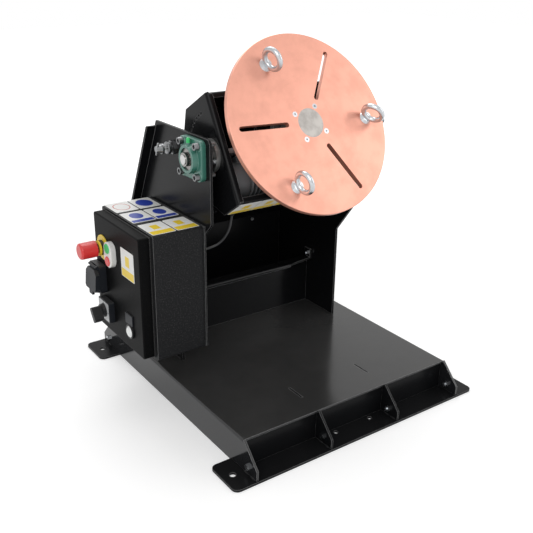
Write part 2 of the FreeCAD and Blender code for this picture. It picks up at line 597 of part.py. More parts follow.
def head_screws():
    """Socket screws of the spindle housing and of the two shaft bosses."""
    screws = []
    for k in range(6):
        at = round_the_axis((HOUSING_R + HOUSING_FLANGE_R) / 2, 60 * k + 30, CARRIER_Z + HOUSING_FLANGE_T)
        screws.append(rod(at + Y * SPINDLE_Y, Z, 6, 6))
    for s in (-1, 1):
        for k in range(4):
            a = math.radians(90 * k + 45)
            at = V(s * (HEAD_X + BOSS_T), BOSS_PCR * math.cos(a), BOSS_PCR * math.sin(a))
            screws.append(rod(at, X * s, 5, 4))
    keep("head_screws", *[tilted(s) for s in screws])


def gear_unit():
    """Worm reducer with a hollow output on the spindle, and its finned motor along X."""
    half = GEARBOX_A / 2
    top = CARRIER_Z - CARRIER_T
    worm_z = top - MOTOR_R - 2
    case = box((-half, half), (WORM_Y - MOTOR_R * 0.7, SPINDLE_Y + half), (top - GEARBOX_H, top))
    case = rounded(case, 12, Z)
    boss = rod(V(0, SPINDLE_Y, top - GEARBOX_H - 8), Z, HOUSING_R - 8, 8)
    worm = rod(V(-half - 6, WORM_Y, worm_z), X, MOTOR_R * 0.66, GEARBOX_A + 6)
    case = fused(case, boss, worm)
    bore = rod(V(0, SPINDLE_Y, top - GEARBOX_H - 8), Z, SPINDLE_R + RUN_FIT, GEARBOX_H + 8)
    keep("worm_gearbox", tilted(case.cut(bore)))
    face = -half - 6
    body = rod(V(face - MOTOR_L, WORM_Y, worm_z), X, MOTOR_R - 5, MOTOR_L)
    flange = rod(V(face - 8, WORM_Y, worm_z), X, MOTOR_R, 8)
    cowl = rod(V(face - MOTOR_L, WORM_Y, worm_z), X, MOTOR_R, 30)
    pitch = (MOTOR_L - 50) / 6
    fins = [rod(V(face - 12 - pitch * (k + 1), WORM_Y, worm_z), X, MOTOR_R - 1, 3) for k in range(6)]
    terminals = box((face - MOTOR_L + 24, face - 28), (WORM_Y, WORM_Y + MOTOR_R + 10), (worm_z - 20, worm_z + 20))
    keep("drive_motor", tilted(fused(body, flange, cowl, terminals, *fins)))


def stub_shafts():
    shafts, rings = [], []
    for s in (-1, 1):
        face = V(s * HEAD_X, 0, 0)
        out = X * s
        reach = UP_OUT + SHAFT_OUT - HEAD_X
        shafts.append(fused(rod(face, out, BOSS_R, BOSS_T), rod(face, out, SHAFT_R, reach)))
        start = V(s * (UP_OUT + INNER_START), 0, 0)
        rings.append(tube(start, out, RING_SPLIT_R, SHAFT_R, INNER_W))
    keep("stub_shafts", *[tilted(x) for x in shafts])
    keep("bearing_inner_rings", *[tilted(x) for x in rings])


# ---------------------------------------------------------------- table
def on_table(shape):
    """shape, laid out about the table's own axis, moved to the spindle and turned to rest."""
    shape = shape.copy()
    shape.rotate(V(0, 0, 0), Z, TABLE_TURN)
    shape.translate(V(0, SPINDLE_Y, 0))
    return tilted(shape)


def round_the_axis(r, turn, z):
    a = math.radians(turn)
    return V(r * math.cos(a), r * math.sin(a), z)


def faceplate():
    plate = rod(V(0, 0, TABLE_BACK), Z, TABLE_R, TABLE_T)
    plate = plate.makeChamfer(1.0, [e for e in plate.Edges if isinstance(e.Curve, Part.Circle)])
    plate = plate.cut(rod(V(0, 0, TABLE_BACK), Z, PILOT_R + 0.02, TABLE_T))
    for k in range(3):
        slot = box((SLOT_IN + SLOT_W / 2, SLOT_OUT - SLOT_W / 2), (-SLOT_W / 2, SLOT_W / 2), (TABLE_BACK, TABLE_FACE))
        ends = [rod(V(x, 0, TABLE_BACK), Z, SLOT_W / 2, TABLE_T) for x in (SLOT_IN + SLOT_W / 2, SLOT_OUT - SLOT_W / 2)]
        slot = fused(slot, *ends)
        slot.rotate(V(0, 0, 0), Z, 60 + 120 * k)
        plate = plate.cut(slot)
        plate = plate.cut(rod(round_the_axis(EYE_PCR, 120 * k, TABLE_BACK), Z, EYE_SHANK, TABLE_T))
    for k in range(4):
        at = round_the_axis(HUB_SCREW_PCR, HUB_SCREW_TURN + 90 * k, TABLE_FACE)
        plate = plate.cut(cone(at - Z * 3.5, Z, HUB_SCREW_R, HUB_SCREW_HEAD, 3.5))
        plate = plate.cut(rod(at - Z * TABLE_T, Z, HUB_SCREW_R, TABLE_T))
    keep("faceplate", on_table(plate))


def spindle():
    end = CARRIER_Z - CARRIER_T - GEARBOX_H - 12
    flange = rod(V(0, 0, TABLE_BACK - HUB_T), Z, HUB_R, HUB_T)
    pilot = rod(V(0, 0, TABLE_BACK), Z, PILOT_R, TABLE_T)
    shaft = rod(V(0, 0, end), Z, SPINDLE_R, TABLE_BACK - HUB_T - end)
    body = fused(flange, pilot, shaft)
    for k in range(4):
        at = round_the_axis(HUB_SCREW_PCR, HUB_SCREW_TURN + 90 * k, TABLE_BACK - HUB_T)
        body = body.cut(rod(at, Z, HUB_SCREW_R, HUB_T))
    keep("spindle", on_table(body))
    screws = []
    for k in range(4):
        at = round_the_axis(HUB_SCREW_PCR, HUB_SCREW_TURN + 90 * k, TABLE_FACE)
        head = cone(at - Z * 3.5, Z, HUB_SCREW_R, HUB_SCREW_HEAD, 3.5).cut(hexagon(at - Z * 2.2, Z, 4, 3))
        screws.append(on_table(fused(head, rod(at - Z * (TABLE_T + HUB_T - 2), Z, HUB_SCREW_R, TABLE_T + HUB_T - 5.5))))
    keep("hub_screws", *screws)


def eye_bolts():
    solids = []
    for k, turn in zip((1, 0, 2), EYE_TURNS):
        at = round_the_axis(EYE_PCR, 120 * k, TABLE_FACE)
        centre = at + Z * (EYE_COLLAR_H + EYE_RING_R)
        a = math.radians(turn)
        ring = Part.makeTorus(EYE_RING_R, EYE_WIRE_R, centre, V(-math.sin(a), math.cos(a), 0))
        collar = cone(at, Z, EYE_COLLAR_R, EYE_COLLAR_R - 4, EYE_COLLAR_H)
        shank = rod(at - Z * (TABLE_T + 3), Z, EYE_SHANK, TABLE_T + 3)
        solids.append(on_table(fused(ring, collar, shank)))
    keep("eye_bolts", *solids)


# ---------------------------------------------------------------- control enclosure
def slab_x(yz, w, h, x, r):
    """A block of w by h centred at yz, between the pair x, with corners of radius r about X."""
    y, z = yz
    return rounded(box(x, (y - w / 2, y + w / 2), (z - h / 2, z + h / 2)), r, X)


def enclosure():
    keep("enclosure_pad", drilled(
        box((BOX_BACK, -UP_OUT), (BOX_FRONT - 4, BOX_REAR), (BOX_Z + 5, BOX_TOP)),
        *[rod(V(BOX_BACK, 0, 0) + at, X, NOSE_BOLT_R + 0.3, PAD_T) for at in pad_holes()],
        rod(V(BOX_BACK, CABLE_ENTRY_Y, CABLE_ENTRY_Z), X, GLAND_R - 2, PAD_T)))
    outer = rounded(box((BOX_FACE, BOX_BACK), (BOX_FRONT, BOX_REAR), (BOX_Z, BOX_TOP)), BOX_R, X)
    w = BOX_WALL
    inner = rounded(box((BOX_FACE + w, BOX_BACK - w), (BOX_FRONT + w, BOX_REAR - w), (BOX_Z + w, BOX_TOP - w)), BOX_R - w, X)
    m = DOOR_OPEN_MARGIN + DOOR_MARGIN_Y
    mouth = box((BOX_FACE, BOX_FACE + w), (BOX_FRONT + m, BOX_REAR - m), (BOX_Z + m, BOX_TOP - m))
    shell = drilled(outer, inner, mouth, *[rod(V(BOX_BACK - w, 0, 0) + at, X, NOSE_BOLT_R + 0.3, w) for at in pad_holes()])
    shell = shell.cut(rod(V(BOX_BACK - w, CABLE_ENTRY_Y, CABLE_ENTRY_Z), X, GLAND_R - 2, w))
    shell = shell.cut(rod(V(BOX_BACK - BOX_D / 2, BOX_REAR - 60, BOX_Z), Z, GLAND_R - 2, w))
    keep("enclosure_body", shell)


def gland(seat, out):
    """A cable gland seated on a wall at seat, pointing along out."""
    nut = hexagon(seat, out, 2 * GLAND_R, GLAND_L * 0.4) if out.z in (1, -1) or out.x in (1, -1) else rod(seat, out, GLAND_R, GLAND_L * 0.4)
    dome = cone(seat + out * (GLAND_L * 0.4), out, GLAND_R - 1, CABLE_R + 1.5, GLAND_L * 0.6)
    stem = rod(seat - out * 8, out, GLAND_R - 2, 8)
    body = fused(nut, dome, stem)
    return body.cut(rod(seat - out * 8, out, CABLE_R, GLAND_L + 8))


def interior():
    """Mounting plate on stand-offs with a top-hat rail, contactors, terminals and the motor's drive."""
    back = BOX_BACK - BOX_WALL
    face = back - POST_H - PLATE_T
    y, z = (BOX_FRONT + PLATE_EDGE, BOX_REAR - PLATE_EDGE), (BOX_Z + PLATE_FOOT, BOX_TOP - PLATE_HEAD)
    corners = [(yy, zz) for yy in (y[0] + 20, y[1] - 20) for zz in (z[0] + 20, z[1] - 20)]
    posts = [rod(V(back - POST_H, yy, zz), X, POST_R, POST_H) for yy, zz in corners]
    plate = box((face, face + PLATE_T), y, z)
    rail_z = z[1] - RAIL_DROP
    keep("mounting_plate", fused(plate, *posts), top_hat(face, (y[0] + 6, y[1] - 6), rail_z))
    front = face - RAIL_D
    first = y[0] + DEVICE_EDGE + CONTACTOR_W / 2
    spots = [first + (CONTACTOR_W + CONTACTOR_GAP) * k for k in range(2)]
    contactors = [slab_x((at, rail_z), CONTACTOR_W, CONTACTOR_H, (front - CONTACTOR_D, front), 3) for at in spots]
    last = y[1] - DEVICE_EDGE - TERMINAL_W / 2
    spots = [last - (TERMINAL_W + TERMINAL_GAP) * k for k in range(TERMINALS)]
    terminals = [slab_x((at, rail_z), TERMINAL_W, TERMINAL_H, (front - TERMINAL_D, front), 1) for at in spots]
    keep("rail_devices", *contactors, *terminals)
    low, high = z[0] + DRIVE_FOOT, rail_z - CONTACTOR_H / 2 - DEVICE_GAP
    left = y[0] + DEVICE_EDGE
    drive = slab_x((left + DRIVE_W / 2, (low + high) / 2), DRIVE_W, high - low, (face - DRIVE_D, face), 4)
    x, span = (face - DRIVE_D, face - DRIVE_D + 3), (left + VENT_EDGE, left + DRIVE_W - VENT_EDGE)
    rows = range(int((high - low - 2 * VENT_EDGE) / VENT_PITCH))
    vents = [box(x, span, (low + VENT_EDGE + VENT_PITCH * k, low + VENT_EDGE + VENT_PITCH * k + VENT_T)) for k in rows]
    keep("speed_drive", drilled(drive, *vents))


def top_hat(face, y, z):
    """A top-hat rail on the plate at face: a web, two walls and two outward lips."""
    h, lip_x = RAIL_H / 2, (face - RAIL_D, face - RAIL_D + RAIL_T)
    parts = [box((face - RAIL_T, face), y, (z - h, z + h))]
    for s in (-1, 1):
        parts.append(box((face - RAIL_D + RAIL_T, face - RAIL_T), y, sorted((z + s * (h - 2 * RAIL_T), z + s * h))))
        parts.append(box(lip_x, y, sorted((z + s * (h - 2 * RAIL_T), z + s * (h + RAIL_LIP)))))
    return fused(*parts)


def door():
    y, z = DOOR_Y, DOOR_Z
    outer = rounded(box((DOOR_FACE, DOOR_BACK), y, z), BOX_R, X)
    outer = rounded(outer, 3.0, Y, lambda p: p.x < DOOR_FACE + 0.1)
    t = DOOR_SHEET
    tray = box((DOOR_FACE + t, DOOR_BACK), (y[0] + t, y[1] - t), (z[0] + t, z[1] - t))
    sheet = outer.cut(rounded(tray, BOX_R - t, X))
    sheet = drilled(sheet, *[rod(V(DOOR_FACE, 0, 0) + at, X, r, t) for at, r in door_holes()])
    keep("door_panel", sheet)
    w = 8
    seal = box((DOOR_BACK, BOX_FACE), y, z).cut(box((DOOR_BACK, BOX_FACE), (y[0] + w, y[1] - w), (z[0] + w, z[1] - w)))
    ledge = rounded(box((DOOR_BACK - 6, DOOR_BACK), (y[0] + t, y[1] - t), (z[0] + t, z[1] - t)), BOX_R - t, X)
    ledge = ledge.cut(box((DOOR_BACK - 6, DOOR_BACK), (y[0] + w, y[1] - w), (z[0] + w, z[1] - w)))
    keep("door_gasket", fused(seal, ledge))


def door_holes():
    """Centre and radius of each hole through the door sheet."""
    spots = [(ESTOP_YZ, ESTOP_STEM_R), (LAMP_YZ, LAMP_R - 4)]
    spots += [((TWIN_YZ[0], TWIN_YZ[1] + s * TWIN_H / 4), TWIN_BUTTON_R - 3) for s in (-1, 1)]
    spots += [(SOCKET_YZ, 20.0), (SWITCH_YZ, 12.0)]
    return [(V(0, y, z), r) for (y, z), r in spots]


def hinges():
    """Two lift-off hinges on the door's rear edge: a leaf and pin on the body, a leaf on the door."""
    fixed, moving = [], []
    for z in (DOOR_Z[0] + 40, DOOR_Z[1] - 64):
        leaf = box((HINGE_X, BOX_FACE), (HINGE_Y - 2, HINGE_Y + 2), (z, z + 12))
        fixed.append(fused(rod(V(HINGE_X, HINGE_Y, z), Z, HINGE_R, 12), rod(V(HINGE_X, HINGE_Y, z), Z, HINGE_R / 2, 23), leaf))
        arm = box((HINGE_X - 2, HINGE_X + 2), (DOOR_Y[1], HINGE_Y), (z + 12.3, z + 24))
        knuckle = fused(rod(V(HINGE_X, HINGE_Y, z + 12.3), Z, HINGE_R, 11.7), arm)
        moving.append(knuckle.cut(rod(V(HINGE_X, HINGE_Y, z + 12.3), Z, HINGE_R / 2 + RUN_FIT, 11)))
    keep("hinge_leaves_body", *fixed)
    keep("hinge_leaves_door", *moving)


# ---------------------------------------------------------------- door furniture
def estop():
    at = V(DOOR_FACE, *ESTOP_YZ)
    keep("estop_plate", tube(at - X * 2, X, ESTOP_PLATE_R, ESTOP_STEM_R + 0.3, 2))
    keep("estop_collar", tube(at - X * 14, X, ESTOP_R - 1.5, ESTOP_STEM_R + 0.3, 12))
    back = at - X * (14 + 5)
    keep("estop_stem", rod(back, X, ESTOP_STEM_R, 15))
    head = rod(back - X * ESTOP_L, X, ESTOP_R, ESTOP_L)
    rim = [e for e in head.Edges if isinstance(e.Curve, Part.Circle) and e.CenterOfMass.x < back.x - 1]
    keep("estop_head", head.makeFillet(5.0, rim))


def twin_button():
    x = (DOOR_FACE - TWIN_T, DOOR_FACE)
    bezel = slab_x(TWIN_YZ, TWIN_W, TWIN_H, x, TWIN_W / 2 - 0.5)
    front = [e for e in bezel.Edges if e.CenterOfMass.x < x[0] + 0.1]
    bezel = bezel.makeFillet(2.0, front)
    for name, s in (("start_button", 1), ("stop_button", -1)):
        at = V(x[0], TWIN_YZ[0], TWIN_YZ[1] + s * TWIN_H / 4)
        bezel = bezel.cut(rod(at, X, TWIN_BUTTON_R + 0.3, TWIN_T))
        cap = rod(at - X * 2, X, TWIN_BUTTON_R, 9)
        rim = [e for e in cap.Edges if isinstance(e.Curve, Part.Circle) and e.CenterOfMass.x < x[0] - 1]
        keep(name, cap.makeFillet(1.0, rim))
    keep("twin_bezel", bezel)


def socket_outlet():
    """Earthed flange socket with a hinged, sprung lid."""
    y, z = SOCKET_YZ
    face = DOOR_FACE - SOCKET_T
    base = slab_x(SOCKET_YZ, SOCKET_W, SOCKET_H, (face, DOOR_FACE), 6)
    base = base.cut(rod(V(face, y, z), X, 19, SOCKET_T - 4))
    base = drilled(base, *[rod(V(face, y + s * 9.5, z), X, 2.5, SOCKET_T) for s in (-1, 1)])
    top = z + SOCKET_H / 2
    ears = [rod(V(face - 3.5, y + s * 16 - 4, top - 4), Y, 3, 8) for s in (-1, 1)]
    arms = [box((face - 3.5, face), (y + s * 16 - 4, y + s * 16 + 4), (top - 7, top - 1)) for s in (-1, 1)]
    base = fused(base, *ears, *arms)
    base = base.cut(rod(V(face - 3.5, y - SOCKET_W, top - 4), Y, 1.5, 2 * SOCKET_W))
    keep("socket_base", base)
    w = SOCKET_W / 2 + 1
    side = [(face - 0.5, top - 9), (face - 0.5, z - SOCKET_H / 2), (face - 14, z - SOCKET_H / 2 + 6),
            (face - 9, top - 9)]
    lid = prism([V(a, y - w, b) for a, b in side], V(0, 2 * w, 0))
    low, high, c = z - SOCKET_H / 2, top - 9, LID_CORNER
    octagon = [(y - w + c, low), (y + w - c, low), (y + w, low + c), (y + w, high - c), (y + w - c, high),
               (y - w + c, high), (y - w, high - c), (y - w, low + c)]
    lid = lid.common(prism_x(octagon, face - 20, face))
    lid = lid.fuse(box((face - 13, face - 8), (y - 9, y + 9), (low - 5, low + 8)))
    knuckle = rod(V(face - 3.5, y - 11.5, top - 4), Y, 3, 23)
    web = box((face - 5.5, face - 1.5), (y - 11.5, y + 11.5), (top - 10, top - 4))
    pin = rod(V(face - 3.5, y - 20, top - 4), Y, 1.5 - RUN_FIT, 40)
    keep("socket_lid", fused(lid, knuckle, web, pin))


def rotary_switch():
    y, z = SWITCH_YZ
    face = DOOR_FACE - SWITCH_T
    body = slab_x(SWITCH_YZ, SWITCH_W, SWITCH_H, (face, DOOR_FACE), 4)
    body = body.cut(rod(V(face, y, z), X, 6.3, 8))
    keep("switch_body", body)
    disc = rod(V(face - 8.4, y, z), X, 15, 8)
    spigot = rod(V(face - 1, y, z), X, 6, 7)
    grip = box((face - 30, face - 8), (y - 6, y + 6), (z - 24, z + 12))
    grip = rounded(grip, 5, X)
    knob = fused(disc, spigot, grip)
    knob.rotate(V(0, y, z), X, -35)
    keep("switch_knob", knob)


def pilot_lamp():
    y, z = LAMP_YZ
    at = V(DOOR_FACE, y, z)
    keep("lamp_bezel", tube(at - X * 4, X, LAMP_R + 1.5, LAMP_R - 2, 4))
    lens = Part.makeSphere(LAMP_R * 1.25, at + X * (LAMP_R * 1.25 - LAMP_T))
    lens = lens.common(rod(at - X * LAMP_T, X, LAMP_R - 2, LAMP_T))
    keep("lamp_lens", lens)
    high = z + LAMP_R + 2 + LEGEND_H / 2
    keep("legend_holder", slab_x((y + 1, high), LEGEND_W, LEGEND_H, (DOOR_FACE - LEGEND_T, DOOR_FACE), 2))


def contact_blocks():
    """Switch contacts clipped behind the door."""
    inner = DOOR_FACE + DOOR_SHEET
    side = 2 * BLOCK_SIDE
    blocks = [(ESTOP_YZ, 2 * ESTOP_R + 3, 44), (TWIN_YZ, TWIN_W - BLOCK_SIDE, TWIN_H - BLOCK_SIDE),
              (SWITCH_YZ, SWITCH_W - side, SWITCH_H - BLOCK_SIDE), (LAMP_YZ, 2 * LAMP_R, 2 * LAMP_R + BLOCK_SIDE)]
    keep("contact_blocks", *[slab_x(yz, w, h, (inner, inner + BLOCK_D), 2) for yz, w, h in blocks])


# ---------------------------------------------------------------- motor cable
def route(points, r):
    """A round tube along straight runs joined by tangent arcs."""
    points = [V(*p) for p in points]
    edges, start = [], points[0]
    for a, b, c in zip(points, points[1:], points[2:]):
        u, w = (a - b).normalize(), (c - b).normalize()
        reach = 0.45 * min((a - b).Length, (c - b).Length)
        turn = math.pi - u.getAngle(w)
        bend = reach / math.tan(turn / 2)
        p, q = b + u * reach, b + w * reach
        inward = (u + w).normalize()
        middle = b + inward * (bend / math.cos(turn / 2) - bend)
        edges += [Part.LineSegment(start, p).toShape(), Part.Arc(p, middle, q).toShape()]
        start = q
        print("cable radius %.1f at turn %.0f" % (bend, math.degrees(turn)))
    edges.append(Part.LineSegment(start, points[-1]).toShape())
    path = Part.Wire(edges)
    ring = Part.Wire([Part.Circle(points[0], points[1] - points[0], r).toShape()])
    tube_ = path.makePipeShell([ring], True, True)
    print("cable volume ratio %.4f" % (tube_.Volume / (math.pi * r * r * path.Length)))
    return tube_


def motor_cable():
    port, out = chamfer_port()
    keep("head_gland", tilted(gland(port, out)))
    entry = V(-UP_OUT, CABLE_ENTRY_Y, CABLE_ENTRY_Z)
    inlet = V(BOX_BACK - BOX_D / 2, BOX_REAR - 60, BOX_Z)
    keep("cable_glands", gland(entry, X), gland(inlet, Z * -1))
    tip = tilted(Part.Vertex(port + out * GLAND_L)).Point
    ahead = tilted(Part.Vertex(port + out * (GLAND_L + HEAD_LEAD))).Point
    end = entry + X * GLAND_L
    keep("motor_cable", route([tip, ahead, *CABLE_WAY, end + X * BOX_LEAD, end], CABLE_R))


# ---------------------------------------------------------------- build
def main():
    for make in (deck, foot_plates, ribs, end_walls, frame_bolts, back_panel, lip_panel, bearing_units, plunger,
                 head_wrap, shelves, carrier, head_screws, gear_unit, stub_shafts, faceplate, spindle, eye_bolts, enclosure,
                 interior, door, hinges, estop, twin_button, socket_outlet, rotary_switch, pilot_lamp,
                 contact_blocks, motor_cable):
        make()
    for name, side in (("left", -1), ("right", 1)):
        keep("upright_" + name, upright(side))
        keep("head_side_" + name, tilted(head_side(side)))
    os.makedirs("parts", exist_ok=True)
    for name, shape in PARTS.items():
        if not shape.isValid():
            raise ValueError(name + " is not a valid solid")
        shape.exportStep("parts/" + name + ".step")
    print(len(PARTS), "sub-parts")


main()
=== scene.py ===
"""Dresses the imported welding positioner: finishes, printed plates, weld beads, lead and studio."""
import json
import math

import bmesh
import bpy
import numpy as np
from bpy.props import FloatProperty, FloatVectorProperty, PointerProperty
from mathutils import Matrix, Vector


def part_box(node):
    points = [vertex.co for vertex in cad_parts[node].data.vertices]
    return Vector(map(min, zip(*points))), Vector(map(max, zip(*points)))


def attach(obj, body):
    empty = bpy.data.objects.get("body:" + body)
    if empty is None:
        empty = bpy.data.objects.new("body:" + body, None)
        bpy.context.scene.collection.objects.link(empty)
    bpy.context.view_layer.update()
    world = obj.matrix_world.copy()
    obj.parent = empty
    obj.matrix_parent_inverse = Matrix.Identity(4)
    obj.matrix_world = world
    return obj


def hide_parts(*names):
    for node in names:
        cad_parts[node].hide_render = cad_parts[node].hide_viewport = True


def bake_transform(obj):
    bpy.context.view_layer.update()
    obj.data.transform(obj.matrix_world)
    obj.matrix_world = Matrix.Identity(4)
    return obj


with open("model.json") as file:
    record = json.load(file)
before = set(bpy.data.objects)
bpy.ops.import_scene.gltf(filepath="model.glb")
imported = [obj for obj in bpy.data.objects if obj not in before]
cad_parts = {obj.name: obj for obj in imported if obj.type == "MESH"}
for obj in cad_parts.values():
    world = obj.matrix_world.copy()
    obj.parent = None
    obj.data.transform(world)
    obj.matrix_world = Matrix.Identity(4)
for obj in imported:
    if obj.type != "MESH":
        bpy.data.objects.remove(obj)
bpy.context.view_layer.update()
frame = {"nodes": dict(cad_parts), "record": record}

bl_info = {
    "name": "Welding positioner dressing",
    "version": (1, 0, 0),
    "blender": (4, 5, 0),
    "location": "View3D > Sidebar > Positioner",
    "description": "Finishes, printed plates, welds, lead and studio for a bench welding positioner",
    "category": "Object",
}

MM = 0.001
LIFT = 0.00005                    # air between a plate and the face it lies on
MOULDED_BLACK = (0.012, 0.0125, 0.014)
PRINT_WHITE = (0.82, 0.82, 0.8)
SCUFFED_PRINT = (0.5, 0.5, 0.48)
DUST_ON_METAL = (0.30, 0.29, 0.27)
COARSE_GRAIN = (0.12, 0.12, 0.115)
DUST_ON_PLASTIC = (0.34, 0.33, 0.31)
YELLOW_RING = 0.0045              # width of the yellow ring behind the mushroom head


# ---------------------------------------------------------------- places read from the frame
def corners(node):
    """Lowest and highest corner of a CAD part."""
    low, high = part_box(node)
    return Vector(low), Vector(high)


def joint(name):
    """The record's entry for a joint."""
    return next(j for j in frame["record"]["behaviour"]["joints"] if j["name"] == name)


PIVOT = Vector(joint("tilt")["pos_m"])
TABLE_AXIS = Vector(joint("table_spin")["axis"]).normalized()
HEAD_UP = Vector((1, 0, 0)).cross(TABLE_AXIS).normalized() * -1
TABLE_MOUNT = next(m for m in frame["record"]["mounts"] if m["name"] == "table_centre")
TABLE_CENTRE = Vector(joint("table_spin")["pos_m"])
TABLE_CENTRE += TABLE_AXIS * (Vector(TABLE_MOUNT["pos_m"]) - TABLE_CENTRE).dot(TABLE_AXIS)


def on_head(x, across, out):
    """A point of the head in millimetres: x to the right, across up its face, out along the table's axis."""
    return PIVOT + Vector((x, 0, 0)) * MM + HEAD_UP * (across * MM) + TABLE_AXIS * (out * MM)


# ---------------------------------------------------------------- sizes and colours a user may change
class PositionerFinish(bpy.types.PropertyGroup):
    coat: FloatVectorProperty(name="Powder coat", description="Colour of the black sheet-steel parts",
                              subtype="COLOR", default=(0.013, 0.0135, 0.015))
    copper: FloatVectorProperty(name="Table copper", description="Colour of the round table",
                                subtype="COLOR", default=(0.78, 0.37, 0.275))
    casting: FloatVectorProperty(name="Bearing enamel", description="Colour of the cast bearing housings",
                                 subtype="COLOR", default=(0.035, 0.16, 0.12))
    red: FloatVectorProperty(name="Stop red", description="Colour of the stop buttons",
                             subtype="COLOR", default=(0.72, 0.03, 0.03))
    yellow: FloatVectorProperty(name="Signal yellow", description="Colour of the yellow parts and plate bands",
                                subtype="COLOR", default=(0.86, 0.62, 0.03))
    blue: FloatVectorProperty(name="Plate blue", description="Colour of the printed blue discs and bands",
                              subtype="COLOR", default=(0.02, 0.05, 0.36))
    gloss: FloatProperty(name="Coat roughness", description="Roughness of the smooth black coat",
                         default=0.1, min=0.02, max=1.0, subtype="FACTOR")


class PositionerPlates(bpy.types.PropertyGroup):
    thickness: FloatProperty(name="Plate thickness", description="Thickness of the printed plates",
                             default=0.0006, min=0.0001, unit="LENGTH")
    corner: FloatProperty(name="Corner radius", description="Corner radius of the printed plates",
                          default=0.003, min=0.0, unit="LENGTH")
    switch_hole: FloatProperty(name="Switch hole", description="Radius of the hole round the switch knob",
                               default=0.0165, min=0.001, unit="LENGTH")


class PositionerWelds(bpy.types.PropertyGroup):
    radius: FloatProperty(name="Bead radius", description="Radius of the weld beads",
                          default=0.0024, min=0.0005, unit="LENGTH")
    pitch: FloatProperty(name="Ripple pitch", description="Distance between the ripples of a weld bead",
                         default=0.0035, min=0.001, unit="LENGTH")


class PositionerStudio(bpy.types.PropertyGroup):
    key: FloatProperty(name="Key lamp", description="Power of the large lamp at the front left",
                       default=34.0, min=0.0, unit="POWER")
    fill: FloatProperty(name="Fill lamp", description="Power of the lamp at the front right",
                        default=14.0, min=0.0, unit="POWER")
    top: FloatProperty(name="Top lamp", description="Power of the lamp overhead and behind",
                       default=22.0, min=0.0, unit="POWER")
    lens: FloatProperty(name="Lens", description="Focal length in millimetres on a 36 mm wide sensor",
                        default=51.42, min=10.0)


# ---------------------------------------------------------------- node tools
def new_node(tree, kind, **settings):
    """A new node of the tree with its settings written."""
    made = tree.nodes.new(kind)
    for key, value in settings.items():
        setattr(made, key, value)
    return made


def feed(tree, socket, value):
    """Links value into socket when it is a socket, and writes it there when it is a number or colour."""
    if isinstance(value, bpy.types.NodeSocket):
        tree.links.new(value, socket)
    elif hasattr(value, "__len__") and len(value) == 3 and socket.type == "RGBA":
        socket.default_value = (*value, 1.0)
    else:
        socket.default_value = value


def maths(tree, operation, a, b=None, c=None, clamp=False):
    """The result of a math node on sockets or numbers."""
    made = new_node(tree, "ShaderNodeMath", operation=operation, use_clamp=clamp)
    for socket, value in zip(made.inputs, (a, b, c)):
        if value is not None:
            feed(tree, socket, value)
    return made.outputs[0]


def vector_maths(tree, operation, a, b=None):
    """A vector math node with its inputs fed."""
    made = new_node(tree, "ShaderNodeVectorMath", operation=operation)
    feed(tree, made.inputs[0], a)
    if b is not None:
        feed(tree, made.inputs[1], b)
    return made


def noise(tree, vector, scale, detail=4.0, roughness=0.5, dimensions="3D"):
    """Noise over a place, or over one number where dimensions is 1D."""
    made = new_node(tree, "ShaderNodeTexNoise", noise_dimensions=dimensions)
    if dimensions == "1D":
        feed(tree, made.inputs["W"], vector)
    else:
        feed(tree, made.inputs["Vector"], vector)
    feed(tree, made.inputs["Scale"], scale)
    made.inputs["Detail"].default_value = detail
    made.inputs["Roughness"].default_value = roughness
    return made.outputs[0]


def stepped(tree, value, low, high, to_low=0.0, to_high=1.0):
    """A smooth step from to_low to to_high as value goes from low to high."""
    made = new_node(tree, "ShaderNodeMapRange", interpolation_type="SMOOTHSTEP")
    for socket, number in zip(made.inputs, (value, low, high, to_low, to_high)):
        feed(tree, socket, number)
    return made.outputs[0]


def mixed(tree, factor, a, b):
    """Colour a turned towards b by factor."""
    made = new_node(tree, "ShaderNodeMix", data_type="RGBA")
    feed(tree, made.inputs["Factor"], factor)
    feed(tree, made.inputs[6], a)
    feed(tree, made.inputs[7], b)
    return made.outputs[2]


def group(name, inputs, outputs, fill):
    """A shader node group with named float or vector inputs and outputs, filled once by fill."""
    tree = bpy.data.node_groups.get(name)
    if tree:
        return tree
    tree = bpy.data.node_groups.new(name, "ShaderNodeTree")
    for label, kind, default in inputs:
        socket = tree.interface.new_socket(label, in_out="INPUT", socket_type=kind)
        if default is not None:
            socket.default_value = default
    for label, kind in outputs:
        tree.interface.new_socket(label, in_out="OUTPUT", socket_type=kind)
    entry, leave = new_node(tree, "NodeGroupInput"), new_node(tree, "NodeGroupOutput")
    for label, value in fill(tree, entry.outputs).items():
        tree.links.new(value, leave.inputs[label])
    return tree


def use_group(tree, inner, **values):
    """The outputs of a placed node group, with its inputs fed by name."""
    placed = new_node(tree, "ShaderNodeGroup", node_tree=inner)
    for label, value in values.items():
        feed(tree, placed.inputs[label.replace("_", " ")], value)
    return placed.outputs


FLOAT, VECTOR = "NodeSocketFloat", "NodeSocketVector"


def peel_group():
    """Skin of a sprayed coat: a fine height, and smudges that shift its roughness."""
    def fill(tree, given):
        fine = noise(tree, given["Vector"], given["Scale"], 2.0)
        broad = noise(tree, given["Vector"], 7.0, 5.0, 0.6)
        smudge = stepped(tree, broad, 0.42, 0.68)
        rough = maths(tree, "MULTIPLY_ADD", smudge, given["Smudge"], given["Roughness"], clamp=True)
        rough = maths(tree, "MULTIPLY_ADD", fine, 0.03, rough, clamp=True)
        return {"Height": fine, "Roughness": rough, "Mask": smudge}
    return group("sprayed skin", [("Vector", VECTOR, None), ("Scale", FLOAT, 400.0), ("Roughness", FLOAT, 0.3),
                                  ("Smudge", FLOAT, 0.1)],
                 [("Height", FLOAT), ("Roughness", FLOAT), ("Mask", FLOAT)], fill)


